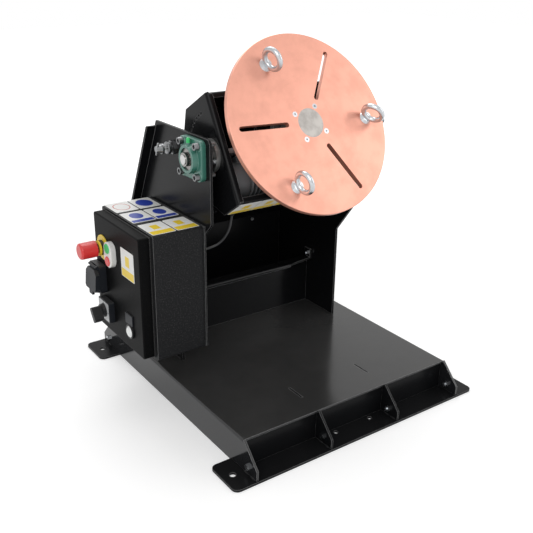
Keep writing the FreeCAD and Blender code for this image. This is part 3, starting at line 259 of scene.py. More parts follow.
def dust_group():
    """Settled dust: a thin film on faces that look up, a little uneven."""
    def fill(tree, given):
        facing = new_node(tree, "ShaderNodeNewGeometry")
        parts = new_node(tree, "ShaderNodeSeparateXYZ")
        tree.links.new(facing.outputs["True Normal"], parts.inputs[0])
        up = stepped(tree, parts.outputs["Z"], 0.3, 1.0)
        patch = stepped(tree, noise(tree, given["Vector"], 7.0, 5.0, 0.6), 0.25, 0.75, 0.7, 1.0)
        mask = maths(tree, "MULTIPLY", maths(tree, "MULTIPLY", up, patch), given["Amount"], clamp=True)
        return {"Mask": mask}
    return group("settled dust", [("Vector", VECTOR, None), ("Amount", FLOAT, 0.1)], [("Mask", FLOAT)], fill)


def scratch_group():
    """Fine handling marks: thin dark-to-light lines where a stretched noise crosses its middle value."""
    def fill(tree, given):
        stretch = vector_maths(tree, "MULTIPLY", given["Vector"], (1.0, 9.0, 3.0)).outputs[0]
        field = noise(tree, stretch, given["Scale"], 3.0, 0.6)
        near = maths(tree, "ABSOLUTE", maths(tree, "SUBTRACT", field, 0.5))
        line = stepped(tree, near, 0.0, 0.006, 1.0, 0.0)
        gate = stepped(tree, noise(tree, given["Vector"], 9.0, 2.0), 0.5, 0.62)
        return {"Mask": maths(tree, "MULTIPLY", line, gate, clamp=True)}
    return group("handling marks", [("Vector", VECTOR, None), ("Scale", FLOAT, 6.0)], [("Mask", FLOAT)], fill)


def turned_group():
    """Rings left by a lathe: noise that varies only with the distance from Centre."""
    def fill(tree, given):
        away = vector_maths(tree, "DISTANCE", given["Vector"], given["Centre"]).outputs["Value"]
        fine = noise(tree, away, given["Scale"], 3.0, 0.6, "1D")
        broad = noise(tree, away, 60.0, 2.0, 0.5, "1D")
        return {"Height": fine, "Tone": broad}
    return group("turned rings", [("Vector", VECTOR, None), ("Centre", VECTOR, None), ("Scale", FLOAT, 900.0)],
                 [("Height", FLOAT), ("Tone", FLOAT)], fill)


def edge_group():
    """Rounded edges for a painted highlight: the normal rounded over Radius, and a mask that is 1 where it
    leans far from the flat one.
    """
    def fill(tree, given):
        rounded = new_node(tree, "ShaderNodeBevel", samples=6)
        tree.links.new(given["Radius"], rounded.inputs["Radius"])
        flat = new_node(tree, "ShaderNodeNewGeometry").outputs["True Normal"]
        lean = vector_maths(tree, "DOT_PRODUCT", rounded.outputs[0], flat).outputs["Value"]
        return {"Mask": stepped(tree, lean, 0.8, 0.99, 1.0, 0.0), "Normal": rounded.outputs[0]}
    return group("worn edges", [("Radius", FLOAT, 0.001)], [("Mask", FLOAT), ("Normal", VECTOR)], fill)


def start_material(name):
    """A material with one Principled shader: itself, its tree, the shader and the object's coordinates."""
    made = bpy.data.materials.new(name)
    made.use_nodes = True
    tree = made.node_tree
    tree.nodes.clear()
    shader, out = new_node(tree, "ShaderNodeBsdfPrincipled"), new_node(tree, "ShaderNodeOutputMaterial")
    tree.links.new(shader.outputs[0], out.inputs[0])
    place = new_node(tree, "ShaderNodeTexCoord").outputs["Object"]
    return made, tree, shader, place


def bumped(tree, shader, height, strength, distance, normal=None):
    """Gives the shader a bump from height, over a rounded normal where there is one."""
    bump = new_node(tree, "ShaderNodeBump")
    if normal is not None:
        tree.links.new(normal, bump.inputs["Normal"])
    bump.inputs["Strength"].default_value = strength
    bump.inputs["Distance"].default_value = distance
    tree.links.new(height, bump.inputs["Height"])
    tree.links.new(bump.outputs[0], shader.inputs["Normal"])


# ---------------------------------------------------------------- finishes
def coated(name, colour, roughness, scale=420.0, depth=0.00004, smudge=0.03, dust=0.008, marks=0.04, coat=0.0,
           specular=0.5, edge=0.002, edge_highlight=0.8, fleck=0.0):
    """Sprayed or powder-coated metal: dust on top faces, faint handling marks and a painted highlight that
    makes the edges paler.

    fleck is how much of a coarse coat's pale grains shows.
    """
    made, tree, shader, place = start_material(name)
    skin = use_group(tree, peel_group(), Vector=place, Scale=scale, Roughness=roughness, Smudge=smudge)
    settled = use_group(tree, dust_group(), Vector=place, Amount=dust)["Mask"]
    lines = use_group(tree, scratch_group(), Vector=place)["Mask"]
    shade = mixed(tree, settled, colour, DUST_ON_METAL)
    pale = tuple(min(1.0, c * 2.2 + 0.03) for c in colour)
    shade = mixed(tree, maths(tree, "MULTIPLY", lines, marks), shade, pale)
    if fleck:
        grain = stepped(tree, noise(tree, place, 330.0, 3.0, 0.7), 0.5, 0.75, 0.0, fleck)
        shade = mixed(tree, grain, shade, COARSE_GRAIN)
    rim = use_group(tree, edge_group(), Radius=edge)
    # painted highlight: the base colour is made paler along edges, where the rounded normal leans away from the
    # flat one
    highlight_colour = tuple(min(1.0, c * 1.6 + 0.26) for c in colour)
    shade = mixed(tree, maths(tree, "MULTIPLY", rim["Mask"], edge_highlight), shade, highlight_colour)
    feed(tree, shader.inputs["Base Color"], shade)
    rough = maths(tree, "MULTIPLY_ADD", settled, 0.5, skin["Roughness"], clamp=True)
    feed(tree, shader.inputs["Roughness"], rough)
    shader.inputs["Specular IOR Level"].default_value = specular
    shader.inputs["Coat Weight"].default_value = coat
    shader.inputs["Coat Roughness"].default_value = 0.12
    bumped(tree, shader, skin["Height"], 0.5, depth, rim["Normal"])
    return made


def bare_metal(name, colour, roughness, scale=700.0, depth=0.00003):
    """Plated or ground metal: a bright surface with fine grain and slight tarnish."""
    made, tree, shader, place = start_material(name)
    skin = use_group(tree, peel_group(), Vector=place, Scale=scale, Roughness=roughness, Smudge=0.14)
    dark = tuple(c * 0.62 for c in colour)
    tarnish = maths(tree, "MULTIPLY", skin["Mask"], 0.6)
    feed(tree, shader.inputs["Base Color"], mixed(tree, tarnish, colour, dark))
    shader.inputs["Metallic"].default_value = 1.0
    feed(tree, shader.inputs["Roughness"], skin["Roughness"])
    bumped(tree, shader, skin["Height"], 0.5, depth)
    return made


def turned_metal(name, colour, roughness, metallic, scale, depth, stain=0.14):
    """Metal faced on a lathe about the table's axis; stain darkens its blotches and makes them finer."""
    made, tree, shader, place = start_material(name)
    rings = use_group(tree, turned_group(), Vector=place, Centre=tuple(TABLE_CENTRE), Scale=scale)
    blotch = stepped(tree, noise(tree, place, 9.0 + 120.0 * stain, 5.0, 0.6), 0.35, 0.7)
    dark = tuple(c * (1 - stain) for c in colour)
    shade = mixed(tree, maths(tree, "MULTIPLY", blotch, 0.8), colour, dark)
    pale = tuple(min(1.0, c * 1.1 + 0.02) for c in colour)
    shade = mixed(tree, maths(tree, "MULTIPLY", rings["Tone"], 0.35), shade, pale)
    feed(tree, shader.inputs["Base Color"], shade)
    shader.inputs["Metallic"].default_value = metallic
    rough = maths(tree, "MULTIPLY_ADD", rings["Height"], 0.12, roughness)
    feed(tree, shader.inputs["Roughness"], maths(tree, "MULTIPLY_ADD", blotch, 0.06, rough, clamp=True))
    bumped(tree, shader, rings["Height"], 0.5, depth)
    return made


def moulded(name, colour, roughness, scale=900.0, depth=0.00003, coat=0.0, glow=0.0, specular=0.5, inner=None):
    """Moulded plastic or rubber with a fine skin; inner is a second colour and the x it starts at."""
    made, tree, shader, place = start_material(name)
    skin = use_group(tree, peel_group(), Vector=place, Scale=scale, Roughness=roughness, Smudge=0.1)
    dust = use_group(tree, dust_group(), Vector=place, Amount=0.12)["Mask"]
    if inner:
        parts = new_node(tree, "ShaderNodeSeparateXYZ")
        tree.links.new(place, parts.inputs[0])
        colour = mixed(tree, maths(tree, "GREATER_THAN", parts.outputs["X"], inner[1]), colour, inner[0])
    feed(tree, shader.inputs["Base Color"], mixed(tree, dust, colour, DUST_ON_PLASTIC))
    feed(tree, shader.inputs["Roughness"], skin["Roughness"])
    shader.inputs["Specular IOR Level"].default_value = specular
    shader.inputs["Coat Weight"].default_value = coat
    shader.inputs["Coat Roughness"].default_value = 0.1
    if glow:
        shader.inputs["Subsurface Weight"].default_value = glow
        shader.inputs["Subsurface Radius"].default_value = (0.004, 0.004, 0.004)
    bumped(tree, shader, skin["Height"], 0.4, depth)
    return made


def printed(name, base, marks):
    """A printed plate: marks are (kind, colour, numbers) laid over base in the plate's own UV map.

    disc and ring hold where the distance from a centre lies between two radii, and band where both
    coordinates lie in a range.
    """
    made, tree, shader, place = start_material(name)
    flat = new_node(tree, "ShaderNodeUVMap", uv_map="plate").outputs[0]
    parts = new_node(tree, "ShaderNodeSeparateXYZ")
    tree.links.new(flat, parts.inputs[0])
    shade = base
    for kind, colour, numbers in marks:
        if kind == "band":
            x0, x1, y0, y1 = numbers
            mask = maths(tree, "GREATER_THAN", parts.outputs["X"], x0)
            limits = (("X", "LESS_THAN", x1), ("Y", "GREATER_THAN", y0), ("Y", "LESS_THAN", y1))
            for value, operation, edge in limits:
                mask = maths(tree, "MULTIPLY", mask, maths(tree, operation, parts.outputs[value], edge))
        else:
            x, y, inner, outer = numbers
            away = vector_maths(tree, "DISTANCE", flat, (x, y, 0.0)).outputs["Value"]
            mask = maths(tree, "MULTIPLY", maths(tree, "LESS_THAN", away, outer),
                         maths(tree, "GREATER_THAN", away, inner))
        shade = mixed(tree, mask, shade, colour)
    skin = use_group(tree, peel_group(), Vector=place, Scale=900.0, Roughness=0.3, Smudge=0.1)
    scuff = use_group(tree, scratch_group(), Vector=place, Scale=14.0)["Mask"]
    shade = mixed(tree, maths(tree, "MULTIPLY", scuff, 0.3), shade, SCUFFED_PRINT)
    feed(tree, shader.inputs["Base Color"], shade)
    feed(tree, shader.inputs["Roughness"], skin["Roughness"])
    bumped(tree, shader, skin["Height"], 0.3, 0.00002)
    return made


def shaded(colour, share):
    """The colour with each of its parts times share."""
    return tuple(part * share for part in colour)


def dress(material, *nodes):
    """Gives the named CAD nodes a material."""
    for name in nodes:
        obj = frame["nodes"][name]
        if not obj.material_slots:
            obj.data.materials.append(material)
        for slot in obj.material_slots:
            slot.link = "OBJECT"
            slot.material = material


# ---------------------------------------------------------------- surfaces
def grid_mesh(name, points, closed_u, closed_v, material, uv=None, smooth=True):
    """A quad mesh through points[i, j], joined end to end along u or v where closed; poles are merged."""
    rows, columns = points.shape[:2]
    i = np.arange(rows if closed_u else rows - 1)
    j = np.arange(columns if closed_v else columns - 1)
    i, j = (a.ravel() for a in np.meshgrid(i, j, indexing="ij"))
    i2, j2 = (i + 1) % rows, (j + 1) % columns
    quads = np.stack([i * columns + j, i2 * columns + j, i2 * columns + j2, i * columns + j2], 1)
    mesh = bpy.data.meshes.new(name)
    mesh.vertices.add(rows * columns)
    mesh.vertices.foreach_set("co", points.reshape(-1).astype(np.float32))
    mesh.loops.add(quads.size)
    mesh.loops.foreach_set("vertex_index", quads.reshape(-1).astype(np.int32))
    mesh.polygons.add(len(quads))
    mesh.polygons.foreach_set("loop_start", np.arange(0, quads.size, 4, dtype=np.int32))
    mesh.polygons.foreach_set("use_smooth", np.full(len(quads), smooth))
    if uv is not None:
        layer = mesh.uv_layers.new(name="plate")
        layer.data.foreach_set("uv", uv.reshape(-1, 2)[quads.reshape(-1)].reshape(-1).astype(np.float32))
    mesh.update(calc_edges=True)
    obj = bpy.data.objects.new(name, mesh)
    bpy.context.scene.collection.objects.link(obj)
    clean(obj)
    mesh.materials.append(material)
    return obj


def clean(obj):
    """Merges doubled points and turns every face of the mesh outwards."""
    work = bmesh.new()
    work.from_mesh(obj.data)
    bmesh.ops.remove_doubles(work, verts=work.verts, dist=1e-7)
    bmesh.ops.dissolve_degenerate(work, dist=1e-8, edges=work.edges)
    bmesh.ops.recalc_face_normals(work, faces=work.faces)
    work.to_mesh(obj.data)
    work.free()


def joined(name, objects):
    """The given objects as one, under one name."""
    with bpy.context.temp_override(active_object=objects[0], selected_editable_objects=objects):
        bpy.ops.object.join()
    objects[0].name = name
    objects[0].data.name = name
    return objects[0]


def directions(count):
    """Unit vectors at evenly spaced angles, none of them along an axis."""
    turn = np.linspace(0, 2 * math.pi, count, endpoint=False) + math.pi / (2 * count)
    return np.stack([np.cos(turn), np.sin(turn)], 1)


def rounded_rectangle(size, corner, way):
    """An outline whose points are a corner's centre plus the corner radius times the direction way."""
    return np.sign(way) * (size / 2 - corner) + corner * way


def plate_mesh(name, rings, closed, origin, right, up, size, material):
    """A flat-shaded mesh through rings, each an outline in the plate's plane and its height over the back."""
    right, up = Vector(right).normalized(), Vector(up).normalized()
    out = right.cross(up)
    rows = [np.array(origin) + outline[:, :1] * np.array(right) + outline[:, 1:] * np.array(up)
            + lift * np.array(out) for outline, lift in rings]
    flat = [outline / size + 0.5 for outline, lift in rings]
    return grid_mesh(name, np.array(rows), closed, True, material, np.array(flat), smooth=False)


def plate_surface(name, origin, right, up, width, height, thickness, corner, material):
    """A thin plate with round corners.

    Its rings are one rounded rectangle, scaled: from the middle of the back out to its edge, up the
    rim, over a small edge break and in to the middle of the face.
    """
    size = np.array([width, height])
    outline = rounded_rectangle(size, corner, directions(48))
    inset = thickness * 0.4
    rings = [(outline * 0, 0.0), (outline, 0.0), (outline, thickness - inset),
             (outline * (1 - 2 * inset / size), thickness), (outline * 0, thickness)]
    return plate_mesh(name, rings, False, origin, right, up, size, material)


def pierced_plate(name, origin, right, up, width, height, hole, thickness, corner, material):
    """A thin plate with round corners and a round hole.

    Four rings are joined end to end: the hole's edge at the back and the front, then the rounded
    rectangle at the front and the back.
    """
    size, way = np.array([width, height]), directions(96)
    outline = rounded_rectangle(size, corner, way)
    rings = [(hole * way, 0.0), (hole * way, thickness), (outline, thickness), (outline, 0.0)]
    return plate_mesh(name, rings, True, origin, right, up, size, material)


BEAD_SIDES, BEAD_SWELL = 10, 0.13
BEAD_DRIFT, DRIFT_RIPPLES = 0.045, 7.3      # how far a bead wanders, in radii, and ripples to one wander


def bead_surface(name, start, end, lean, radius, pitch, material):
    """A weld bead from start to end, leaning out of its corner.

    Circles follow a line that drifts a little from side to side by a sine. Their radius swells once
    in every pitch and falls to nearly nothing at both ends.
    """
    start, end = np.array(start), np.array(end)
    run = end - start
    length = float(np.linalg.norm(run))
    run = run / length
    lean = np.array(lean, float)
    lean = lean / np.linalg.norm(lean)
    side = np.cross(run, lean)
    s = np.linspace(0, 1, max(8, int(length / pitch * 4)))
    swell = 1 + BEAD_SWELL * np.abs(np.sin(math.pi * s * length / pitch))
    swell = swell * np.clip(np.minimum(s, 1 - s) * length / radius, 0.02, 1) ** 0.5
    drift = BEAD_DRIFT * radius * np.sin(2 * math.pi * s * length / (pitch * DRIFT_RIPPLES))
    centre = start + np.outer(s * length, run) + np.outer(drift, side)
    turn = np.linspace(0, 2 * math.pi, BEAD_SIDES, endpoint=False)
    points = centre[:, None, :] + (radius * swell)[:, None, None] * (
        np.cos(turn)[None, :, None] * side + np.sin(turn)[None, :, None] * lean)
    return grid_mesh(name, points, False, True, material)


LEAD_SIDES, LEAD_ASIDE = 16, (0.3, 1.0, 0.2)      # LEAD_ASIDE is a direction that the lead never runs in


def swept(name, path, radius, material):
    """A round tube: at each point of the path a circle square to its run, with closed ends."""
    run = np.gradient(path, axis=0)
    run = run / np.linalg.norm(run, axis=1, keepdims=True)
    side = np.cross(run, LEAD_ASIDE)
    side = side / np.linalg.norm(side, axis=1, keepdims=True)
    other = np.cross(run, side)
    turn = np.linspace(0, 2 * math.pi, LEAD_SIDES, endpoint=False)
    ring = np.cos(turn)[None, :, None] * side[:, None] + np.sin(turn)[None, :, None] * other[:, None]
    points = path[:, None] + radius * ring
    caps = np.repeat(path[[0, -1]][:, None], LEAD_SIDES, axis=1)
    points = np.concatenate([caps[:1], points, caps[1:]])
    return grid_mesh(name, points, False, True, material)


def finish_named(name):
    """A finish that has been made."""
    return bpy.data.materials[name]


# ---------------------------------------------------------------- operators
class POSITIONER_OT_materials(bpy.types.Operator):
    """Makes every finish and gives the CAD parts theirs."""
    bl_idname = "positioner.materials"
    bl_label = "Finishes"

    def execute(self, context):
        f = context.scene.positioner_finish
        coat, red, yellow, blue = tuple(f.coat), tuple(f.red), tuple(f.yellow), tuple(f.blue)
        self.sheet_steel(coat, f.gloss)
        self.machined(tuple(f.copper), tuple(f.casting))
        self.plastics(red, yellow)
        self.prints(yellow, blue)
        return {"FINISHED"}

    def sheet_steel(self, coat, gloss):
        """The powder-coated base, tower, head and enclosure."""
        dress(coated("deck black coat", coat, gloss, dust=0.1, specular=0.42), "deck")
        dress(coated("smooth black coat", shaded(coat, 0.5), 0.22, specular=0.1),
              "deck_ribs", "end_walls", "foot_plates", "upright_left", "upright_right", "tower_back_panel",
              "head_wrap", "head_side_left", "head_side_right", "spindle_carrier")
        # the lip's edges get a wider, stronger painted highlight, standing in for the bright lines along its
        # hem
        dress(coated("lip black coat", shaded(coat, 0.5), 0.16, specular=0.3, edge=0.003, edge_highlight=1.6),
              "lip_panel")
        dress(coated("textured black coat", shaded(coat, 0.7), 0.45, scale=620.0, depth=0.0005, smudge=0.03,
                     dust=0.02, marks=0.05, specular=0.12, fleck=0.36),
              "enclosure_body", "hinge_leaves_body", "hinge_leaves_door", "enclosure_pad")
        dress(coated("door black coat", shaded(coat, 0.2), 0.4, scale=900.0, depth=0.0001, smudge=0.03,
                     dust=0.01, marks=0.03, specular=0.04, fleck=0.06), "door_panel")

    def machined(self, copper, casting):
        """Castings, turned, plated and bare metal."""
        dress(coated("green enamel", casting, 0.3, scale=160.0, depth=0.0003, smudge=0.12, dust=0.06, marks=0.2,
                     coat=0.4), "bearing_housings")
        dress(coated("grey machine paint", (0.16, 0.17, 0.18), 0.4, scale=200.0, depth=0.0002),
              "worm_gearbox", "drive_motor", "spindle_housing")
        dress(turned_metal("copper-plated table", copper, 0.3, metallic=0.75, scale=1400.0, depth=0.00001),
              "faceplate")
        dress(turned_metal("turned steel", (0.42, 0.395, 0.37), 0.34, metallic=1.0, scale=1800.0, depth=0.00002,
                           stain=0.34), "spindle")
        dress(bare_metal("bright zinc", (0.56, 0.58, 0.60), 0.2, scale=260.0),
              "eye_bolts", "hub_screws", "frame_bolts", "head_screws", "head_shelves")
        dress(bare_metal("ground steel", (0.56, 0.56, 0.55), 0.28), "stub_shafts", "plunger_pin")
        dress(bare_metal("oiled steel", (0.24, 0.245, 0.25), 0.3),
              "bearing_bolts", "plunger_sleeve", "plunger_handle")
        dress(bare_metal("bearing steel", (0.3, 0.29, 0.28), 0.22),
              "bearing_inner_rings", "bearing_outer_rings", "spindle_bearings")
        dress(bare_metal("galvanised sheet", (0.5, 0.52, 0.54), 0.4, scale=60.0), "mounting_plate")

    def plastics(self, red, yellow):
        """Buttons, lamp, socket, switch, glands and seal."""
        neck = corners("estop_collar")[0].x + YELLOW_RING
        dress(moulded("green cap", (0.04, 0.55, 0.16), 0.35), "grease_nipples", "start_button")
        dress(moulded("stop red", red, 0.34, coat=0.2), "estop_head", "stop_button")
        dress(moulded("signal yellow", yellow, 0.35), "estop_plate")
        dress(moulded("yellow ring on black neck", yellow, 0.35, inner=(MOULDED_BLACK, neck)), "estop_collar")
        dress(moulded("black plastic", MOULDED_BLACK, 0.36, specular=0.3),
              "switch_knob", "cable_glands", "head_gland", "lamp_bezel", "estop_stem", "rail_devices")
        dress(moulded("slate plastic", (0.012, 0.014, 0.018), 0.4, specular=0.22),
              "socket_base", "socket_lid", "legend_holder", "speed_drive", "contact_blocks", "switch_body")
        dress(moulded("white plastic", (0.8, 0.8, 0.78), 0.3, coat=0.2), "twin_bezel")
        dress(moulded("lamp white", (0.86, 0.87, 0.86), 0.22, glow=0.3, coat=0.4), "lamp_lens")
        dress(moulded("black rubber", (0.018, 0.018, 0.018), 0.55), "door_gasket")
        moulded("lead sheath", (0.02, 0.02, 0.022), 0.42)

    def prints(self, yellow, blue):
        """The plates' finishes: plain discs, rings, blocks and bands."""
        printed("plate, blue disc", PRINT_WHITE, [("disc", blue, (0.5, 0.5, -1.0, 0.36))])
        printed("plate, red ring", PRINT_WHITE, [("ring", (0.55, 0.12, 0.1), (0.5, 0.5, 0.31, 0.35))])
        printed("plate, blue disc and band", PRINT_WHITE,
                [("band", blue, (0.04, 0.96, 0.03, 0.24)), ("disc", blue, (0.5, 0.6, -1.0, 0.27))])
        printed("plate, yellow block and band", PRINT_WHITE,
                [("band", yellow, (0.03, 0.97, 0.02, 0.3)), ("band", yellow, (0.34, 0.66, 0.42, 0.78))])
        dark = (0.03, 0.03, 0.035)
        printed("plate, switch face", (0.5, 0.51, 0.52),
                [("band", dark, (0.47, 0.53, 0.86, 0.95)), ("band", dark, (0.04, 0.1, 0.47, 0.53)),
                 ("band", dark, (0.9, 0.96, 0.47, 0.53))])


TOP_MARGIN, TOP_SPLIT, TOP_GAP = 0.004, 0.060, 0.0015
# A row's front and back edge, each as its distance from the enclosure's rear, then its outer and inner finish.
TOP_ROWS = ((0.0705, 0.0015, "plate, red ring", "plate, blue disc"),
            (0.153, 0.081, "plate, blue disc and band", "plate, blue disc and band"),
            (0.241, 0.169, "plate, yellow block and band", "plate, yellow block and band"))
DOOR_PLATE_IN, DOOR_PLATE_SIZE = (0.0575, 0.074), (0.061, 0.065)      # IN is from the door's front and top
SWITCH_FACE_SIZE = (0.050, 0.044)
HEAD_FACE_TOP, HEAD_FACE_LOW = (-122, 48), (-127, -17)      # across and out on the head, in millimetres
HEAD_PLATE_COUNT, HEAD_PLATE_EDGE, HEAD_PLATE_PITCH = 3, 0.0275, 0.058
HEAD_PLATE_SIZE = (0.056, 0.062)


class POSITIONER_OT_plates(bpy.types.Operator):
    """Lays the printed plates on the enclosure, its door and the head."""
    bl_idname = "positioner.plates"
    bl_label = "Printed plates"

    def execute(self, context):
        p = context.scene.positioner_plates
        self.top_plates(p)
        self.door_plates(p)
        self.head_plates(p)
        return {"FINISHED"}

    def top_plates(self, p):
        """Two columns of three plates on the enclosure, an outer one by the door and an inner one."""
        low, high = corners("enclosure_body")
        columns = (("outer", low.x + TOP_MARGIN, low.x + TOP_SPLIT - TOP_GAP),
                   ("inner", low.x + TOP_SPLIT + TOP_GAP, high.x - TOP_MARGIN))
        for number, (front, back, *finishes) in enumerate(TOP_ROWS):
            for (side, x0, x1), finish in zip(columns, finishes):
                middle = ((x0 + x1) / 2, high.y - (front + back) / 2, high.z + LIFT)
                piece = plate_surface("top_plate_%s_%d" % (side, number + 1), middle, (1, 0, 0), (0, 1, 0),
                                      x1 - x0, front - back, p.thickness, p.corner, finish_named(finish))
                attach(piece, "stand")

    def door_plates(self, p):
        """A plate on the door, and one round the switch."""
        low, high = corners("door_panel")
        middle = (low.x - LIFT, low.y + DOOR_PLATE_IN[0], high.z - DOOR_PLATE_IN[1])
        piece = plate_surface("door_plate", middle, (0, -1, 0), (0, 0, 1), *DOOR_PLATE_SIZE, p.thickness,
                              p.corner, finish_named("plate, yellow block and band"))
        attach(piece, "door")
        low, high = corners("switch_body")
        middle = (low.x - LIFT, (low.y + high.y) / 2, (low.z + high.z) / 2)
        piece = pierced_plate("switch_face", middle, (0, -1, 0), (0, 0, 1), *SWITCH_FACE_SIZE, p.switch_hole,
                              p.thickness, p.corner, finish_named("plate, switch face"))
        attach(piece, "door")

    def head_plates(self, p):
        """A row of plates on the head's front slope, from its left edge."""
        left = corners("head_wrap")[0].x + HEAD_PLATE_EDGE
        top, low = on_head(0, *HEAD_FACE_TOP), on_head(0, *HEAD_FACE_LOW)
        along = (top - low).normalized()
        lift = Vector((1, 0, 0)).cross(along) * 2 * LIFT
        for number in range(HEAD_PLATE_COUNT):
            middle = (top + low) / 2 + Vector((left + number * HEAD_PLATE_PITCH, 0, 0)) + lift
            piece = plate_surface("head_plate_%d" % (number + 1), middle, (1, 0, 0), along, *HEAD_PLATE_SIZE,
                                  p.thickness, p.corner, finish_named("plate, yellow block and band"))
            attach(piece, "head")


SIDE_PLATE, RIB_PLATE = 0.006, 0.005                 # thickness of the tower's side plates and of the ribs
TOWER_WELD = (0.036, 0.282)                          # y where the tower's weld starts and ends
STITCH_START, STITCH_STEP, STITCH_LENGTH = 0.010, 0.022, 0.016      # the start is measured from the end wall


class POSITIONER_OT_welds(bpy.types.Operator):
    """Runs weld beads where the sheets meet."""
    bl_idname = "positioner.welds"
    bl_label = "Weld beads"

    def execute(self, context):
        w = context.scene.positioner_welds
        coat = finish_named("smooth black coat")
        deck, foot_top = corners("deck")[1], corners("foot_plates")[1].z
        tower = corners("upright_right")[0].x + SIDE_PLATE
        rib = corners("deck_ribs")[1].x
        first = corners("end_walls")[1].y + STITCH_START
        beads = []
        for side in (-1, 1):
            start, stop = ((side * tower, y, deck.z) for y in TOWER_WELD)
            beads.append(bead_surface("bead", start, stop, (side, 0, 1), w.radius, w.pitch, coat))
            for end in (-1, 1):
                for x, away in ((deck.x, side), (rib, side), (rib - RIB_PLATE, -side)):
                    for k in range(2):
                        y = end * (first + STITCH_STEP * k)
                        start, stop = (side * x, y, foot_top), (side * x, y + end * STITCH_LENGTH, foot_top)
                        beads.append(bead_surface("bead", start, stop, (away, 0, 1), w.radius, w.pitch, coat))
        piece = joined("weld_beads", beads)
        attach(piece, "stand")
        return {"FINISHED"}


LEAD_DIAMETER = 0.0052
LEAD_ROUTE = ((-0.165, -0.07906, 0.46342), (-0.165, -0.07373, 0.44003), (-0.169, -0.069, 0.420),
              (-0.182, -0.058, 0.396), (-0.2044, -0.050, 0.386), (-0.2204, -0.050, 0.386))


class POSITIONER_OT_lead(bpy.types.Operator):
    """Draws the motor lead between the head and the enclosure."""
    bl_idname = "positioner.lead"
    bl_label = "Motor lead"

    def execute(self, context):
        curve = bpy.data.curves.new("lead route", "CURVE")
        curve.dimensions = "3D"
        line = curve.splines.new("NURBS")
        line.points.add(len(LEAD_ROUTE) - 1)
        line.points.foreach_set("co", np.array([(*p, 1.0) for p in LEAD_ROUTE]).reshape(-1))
        line.order_u = 3
        line.use_endpoint_u = True
        line.resolution_u = 12
        holder = bpy.data.objects.new("lead route", curve)
        context.scene.collection.objects.link(holder)
        context.view_layer.update()
        traced = bpy.data.meshes.new_from_object(holder)
        path = np.array([v.co[:] for v in traced.vertices])
        bpy.data.objects.remove(holder)
        gland = np.array(LEAD_ROUTE[0])
        if np.linalg.norm(path[0] - gland) > np.linalg.norm(path[-1] - gland):
            path = path[::-1]
        piece = swept("motor_lead", path, LEAD_DIAMETER / 2, finish_named("lead sheath"))
        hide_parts("motor_cable")
        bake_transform(piece)
        return {"FINISHED"}


FLOOR_HALF, FLOOR_DROP = 9.0, 0.0005
GLOW_NEAR, GLOW_FAR = (0.9, 0.32), (3.2, 0.75)      # distance from the part, and the floor's glow there
LAMPS = (("key", 1.8, (-1.9, -2.0, 2.3), 0.35),     # setting, width, place and the height it aims at
         ("fill", 1.8, (2.2, -1.6, 1.5), 0.35),
         ("top", 1.6, (0.3, 1.1, 2.4), 0.2))
WORLD_LIGHT, WORLD_SEEN = 0.5, 0.5                  # light on the part, and what is added where it is seen
CAMERA_AT, CAMERA_AIM, CAMERA_ROLL = (-1.00279, -1.38860, 0.98681), (-0.01227, 0.00446, 0.28047), 0.8


def seen_directly(tree):
    """1 for rays from the camera and for reflected or transmitted rays, else 0."""
    path = new_node(tree, "ShaderNodeLightPath")
    seen = maths(tree, "MAXIMUM", path.outputs["Is Camera Ray"], path.outputs["Is Transmission Ray"])
    return maths(tree, "MAXIMUM", seen, path.outputs["Is Glossy Ray"])


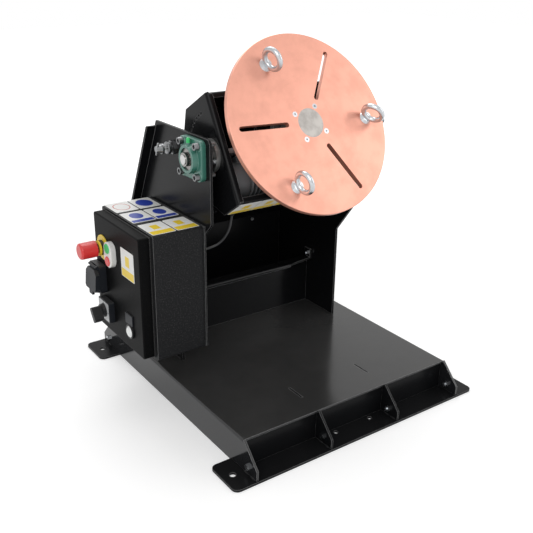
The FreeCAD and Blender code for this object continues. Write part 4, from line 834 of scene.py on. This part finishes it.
class POSITIONER_OT_stage(bpy.types.Operator):
    """Sets the floor, lamps, world and camera."""
    bl_idname = "positioner.stage"
    bl_label = "Studio"

    def execute(self, context):
        settings = context.scene.positioner_studio
        self.floor(context.scene)
        self.lamps(context.scene, settings)
        self.world(context.scene)
        self.camera(context.scene, settings)
        context.scene.view_settings.view_transform = "Standard"
        return {"FINISHED"}

    def floor(self, scene):
        """A pale floor that glows a little more far away, so that it stays white to the horizon."""
        finish, tree, shader, place = start_material("studio floor")
        shader.inputs["Base Color"].default_value = (0.86, 0.86, 0.86, 1)
        shader.inputs["Roughness"].default_value = 0.9
        shader.inputs["Specular IOR Level"].default_value = 0.1
        shader.inputs["Emission Color"].default_value = (1, 1, 1, 1)
        away = vector_maths(tree, "LENGTH", place).outputs["Value"]
        glow = stepped(tree, away, GLOW_NEAR[0], GLOW_FAR[0], GLOW_NEAR[1], GLOW_FAR[1])
        feed(tree, shader.inputs["Emission Strength"], maths(tree, "MULTIPLY", seen_directly(tree), glow))
        mesh = bpy.data.meshes.new("studio_floor")
        around = ((-1, -1), (1, -1), (1, 1), (-1, 1))
        mesh.from_pydata([(x * FLOOR_HALF, y * FLOOR_HALF, -FLOOR_DROP) for x, y in around], [], [(0, 1, 2, 3)])
        piece = bpy.data.objects.new("studio_floor", mesh)
        mesh.materials.append(finish)
        scene.collection.objects.link(piece)

    def lamps(self, scene, settings):
        """Three large soft lamps."""
        for key, width, spot, aim in LAMPS:
            lamp = bpy.data.lights.new(key + " lamp", "AREA")
            lamp.energy, lamp.size = getattr(settings, key), width
            holder = bpy.data.objects.new(key + " lamp", lamp)
            scene.collection.objects.link(holder)
            holder.location = spot
            ahead = Vector((0, 0, aim)) - Vector(spot)
            holder.rotation_euler = ahead.to_track_quat("-Z", "Y").to_euler()

    def world(self, scene):
        """An even white surround, at half strength as light."""
        world = bpy.data.worlds.new("studio")
        world.use_nodes = True
        tree = world.node_tree
        background = tree.nodes["Background"]
        background.inputs["Color"].default_value = (1, 1, 1, 1)
        strength = maths(tree, "MULTIPLY_ADD", seen_directly(tree), WORLD_SEEN, WORLD_LIGHT)
        feed(tree, background.inputs["Strength"], strength)
        scene.world = world

    def camera(self, scene, settings):
        """The camera at the front left, a little above the table."""
        camera = bpy.data.cameras.new("camera")
        camera.lens, camera.sensor_width = settings.lens, 36.0
        holder = bpy.data.objects.new("camera", camera)
        scene.collection.objects.link(holder)
        holder.location = CAMERA_AT
        ahead = Vector(CAMERA_AIM) - holder.location
        turn = ahead.to_track_quat("-Z", "Y").to_matrix() @ Matrix.Rotation(math.radians(CAMERA_ROLL), 3, "Z")
        holder.rotation_euler = turn.to_euler()
        scene.camera = holder


class POSITIONER_PT_panel(bpy.types.Panel):
    """Lists the positioner's settings and pieces."""
    bl_label = "Positioner"
    bl_space_type = "VIEW_3D"
    bl_region_type = "UI"
    bl_category = "Positioner"

    def draw(self, context):
        for settings in (context.scene.positioner_finish, context.scene.positioner_plates,
                         context.scene.positioner_welds, context.scene.positioner_studio):
            for key in settings.bl_rna.properties.keys():
                if key not in ("rna_type", "name"):
                    self.layout.prop(settings, key)
        for step in STEPS:
            self.layout.operator(step.bl_idname)


STEPS = (POSITIONER_OT_materials, POSITIONER_OT_plates, POSITIONER_OT_welds, POSITIONER_OT_lead,
         POSITIONER_OT_stage)
GROUPS = {"positioner_finish": PositionerFinish, "positioner_plates": PositionerPlates,
          "positioner_welds": PositionerWelds, "positioner_studio": PositionerStudio}


def register():
    """Adds the settings, operators and panel."""
    for cls in (*GROUPS.values(), *STEPS, POSITIONER_PT_panel):
        bpy.utils.register_class(cls)
    for name, cls in GROUPS.items():
        setattr(bpy.types.Scene, name, PointerProperty(type=cls))


def unregister():
    """Takes them away again."""
    for name in GROUPS:
        delattr(bpy.types.Scene, name)
    for cls in (POSITIONER_PT_panel, *reversed(STEPS), *reversed(GROUPS.values())):
        bpy.utils.unregister_class(cls)


def main():
    """Makes every piece in order."""
    register()
    for step in (bpy.ops.positioner.materials, bpy.ops.positioner.plates, bpy.ops.positioner.welds,
                 bpy.ops.positioner.lead, bpy.ops.positioner.stage):
        step()


if __name__ == "__main__":
    main()
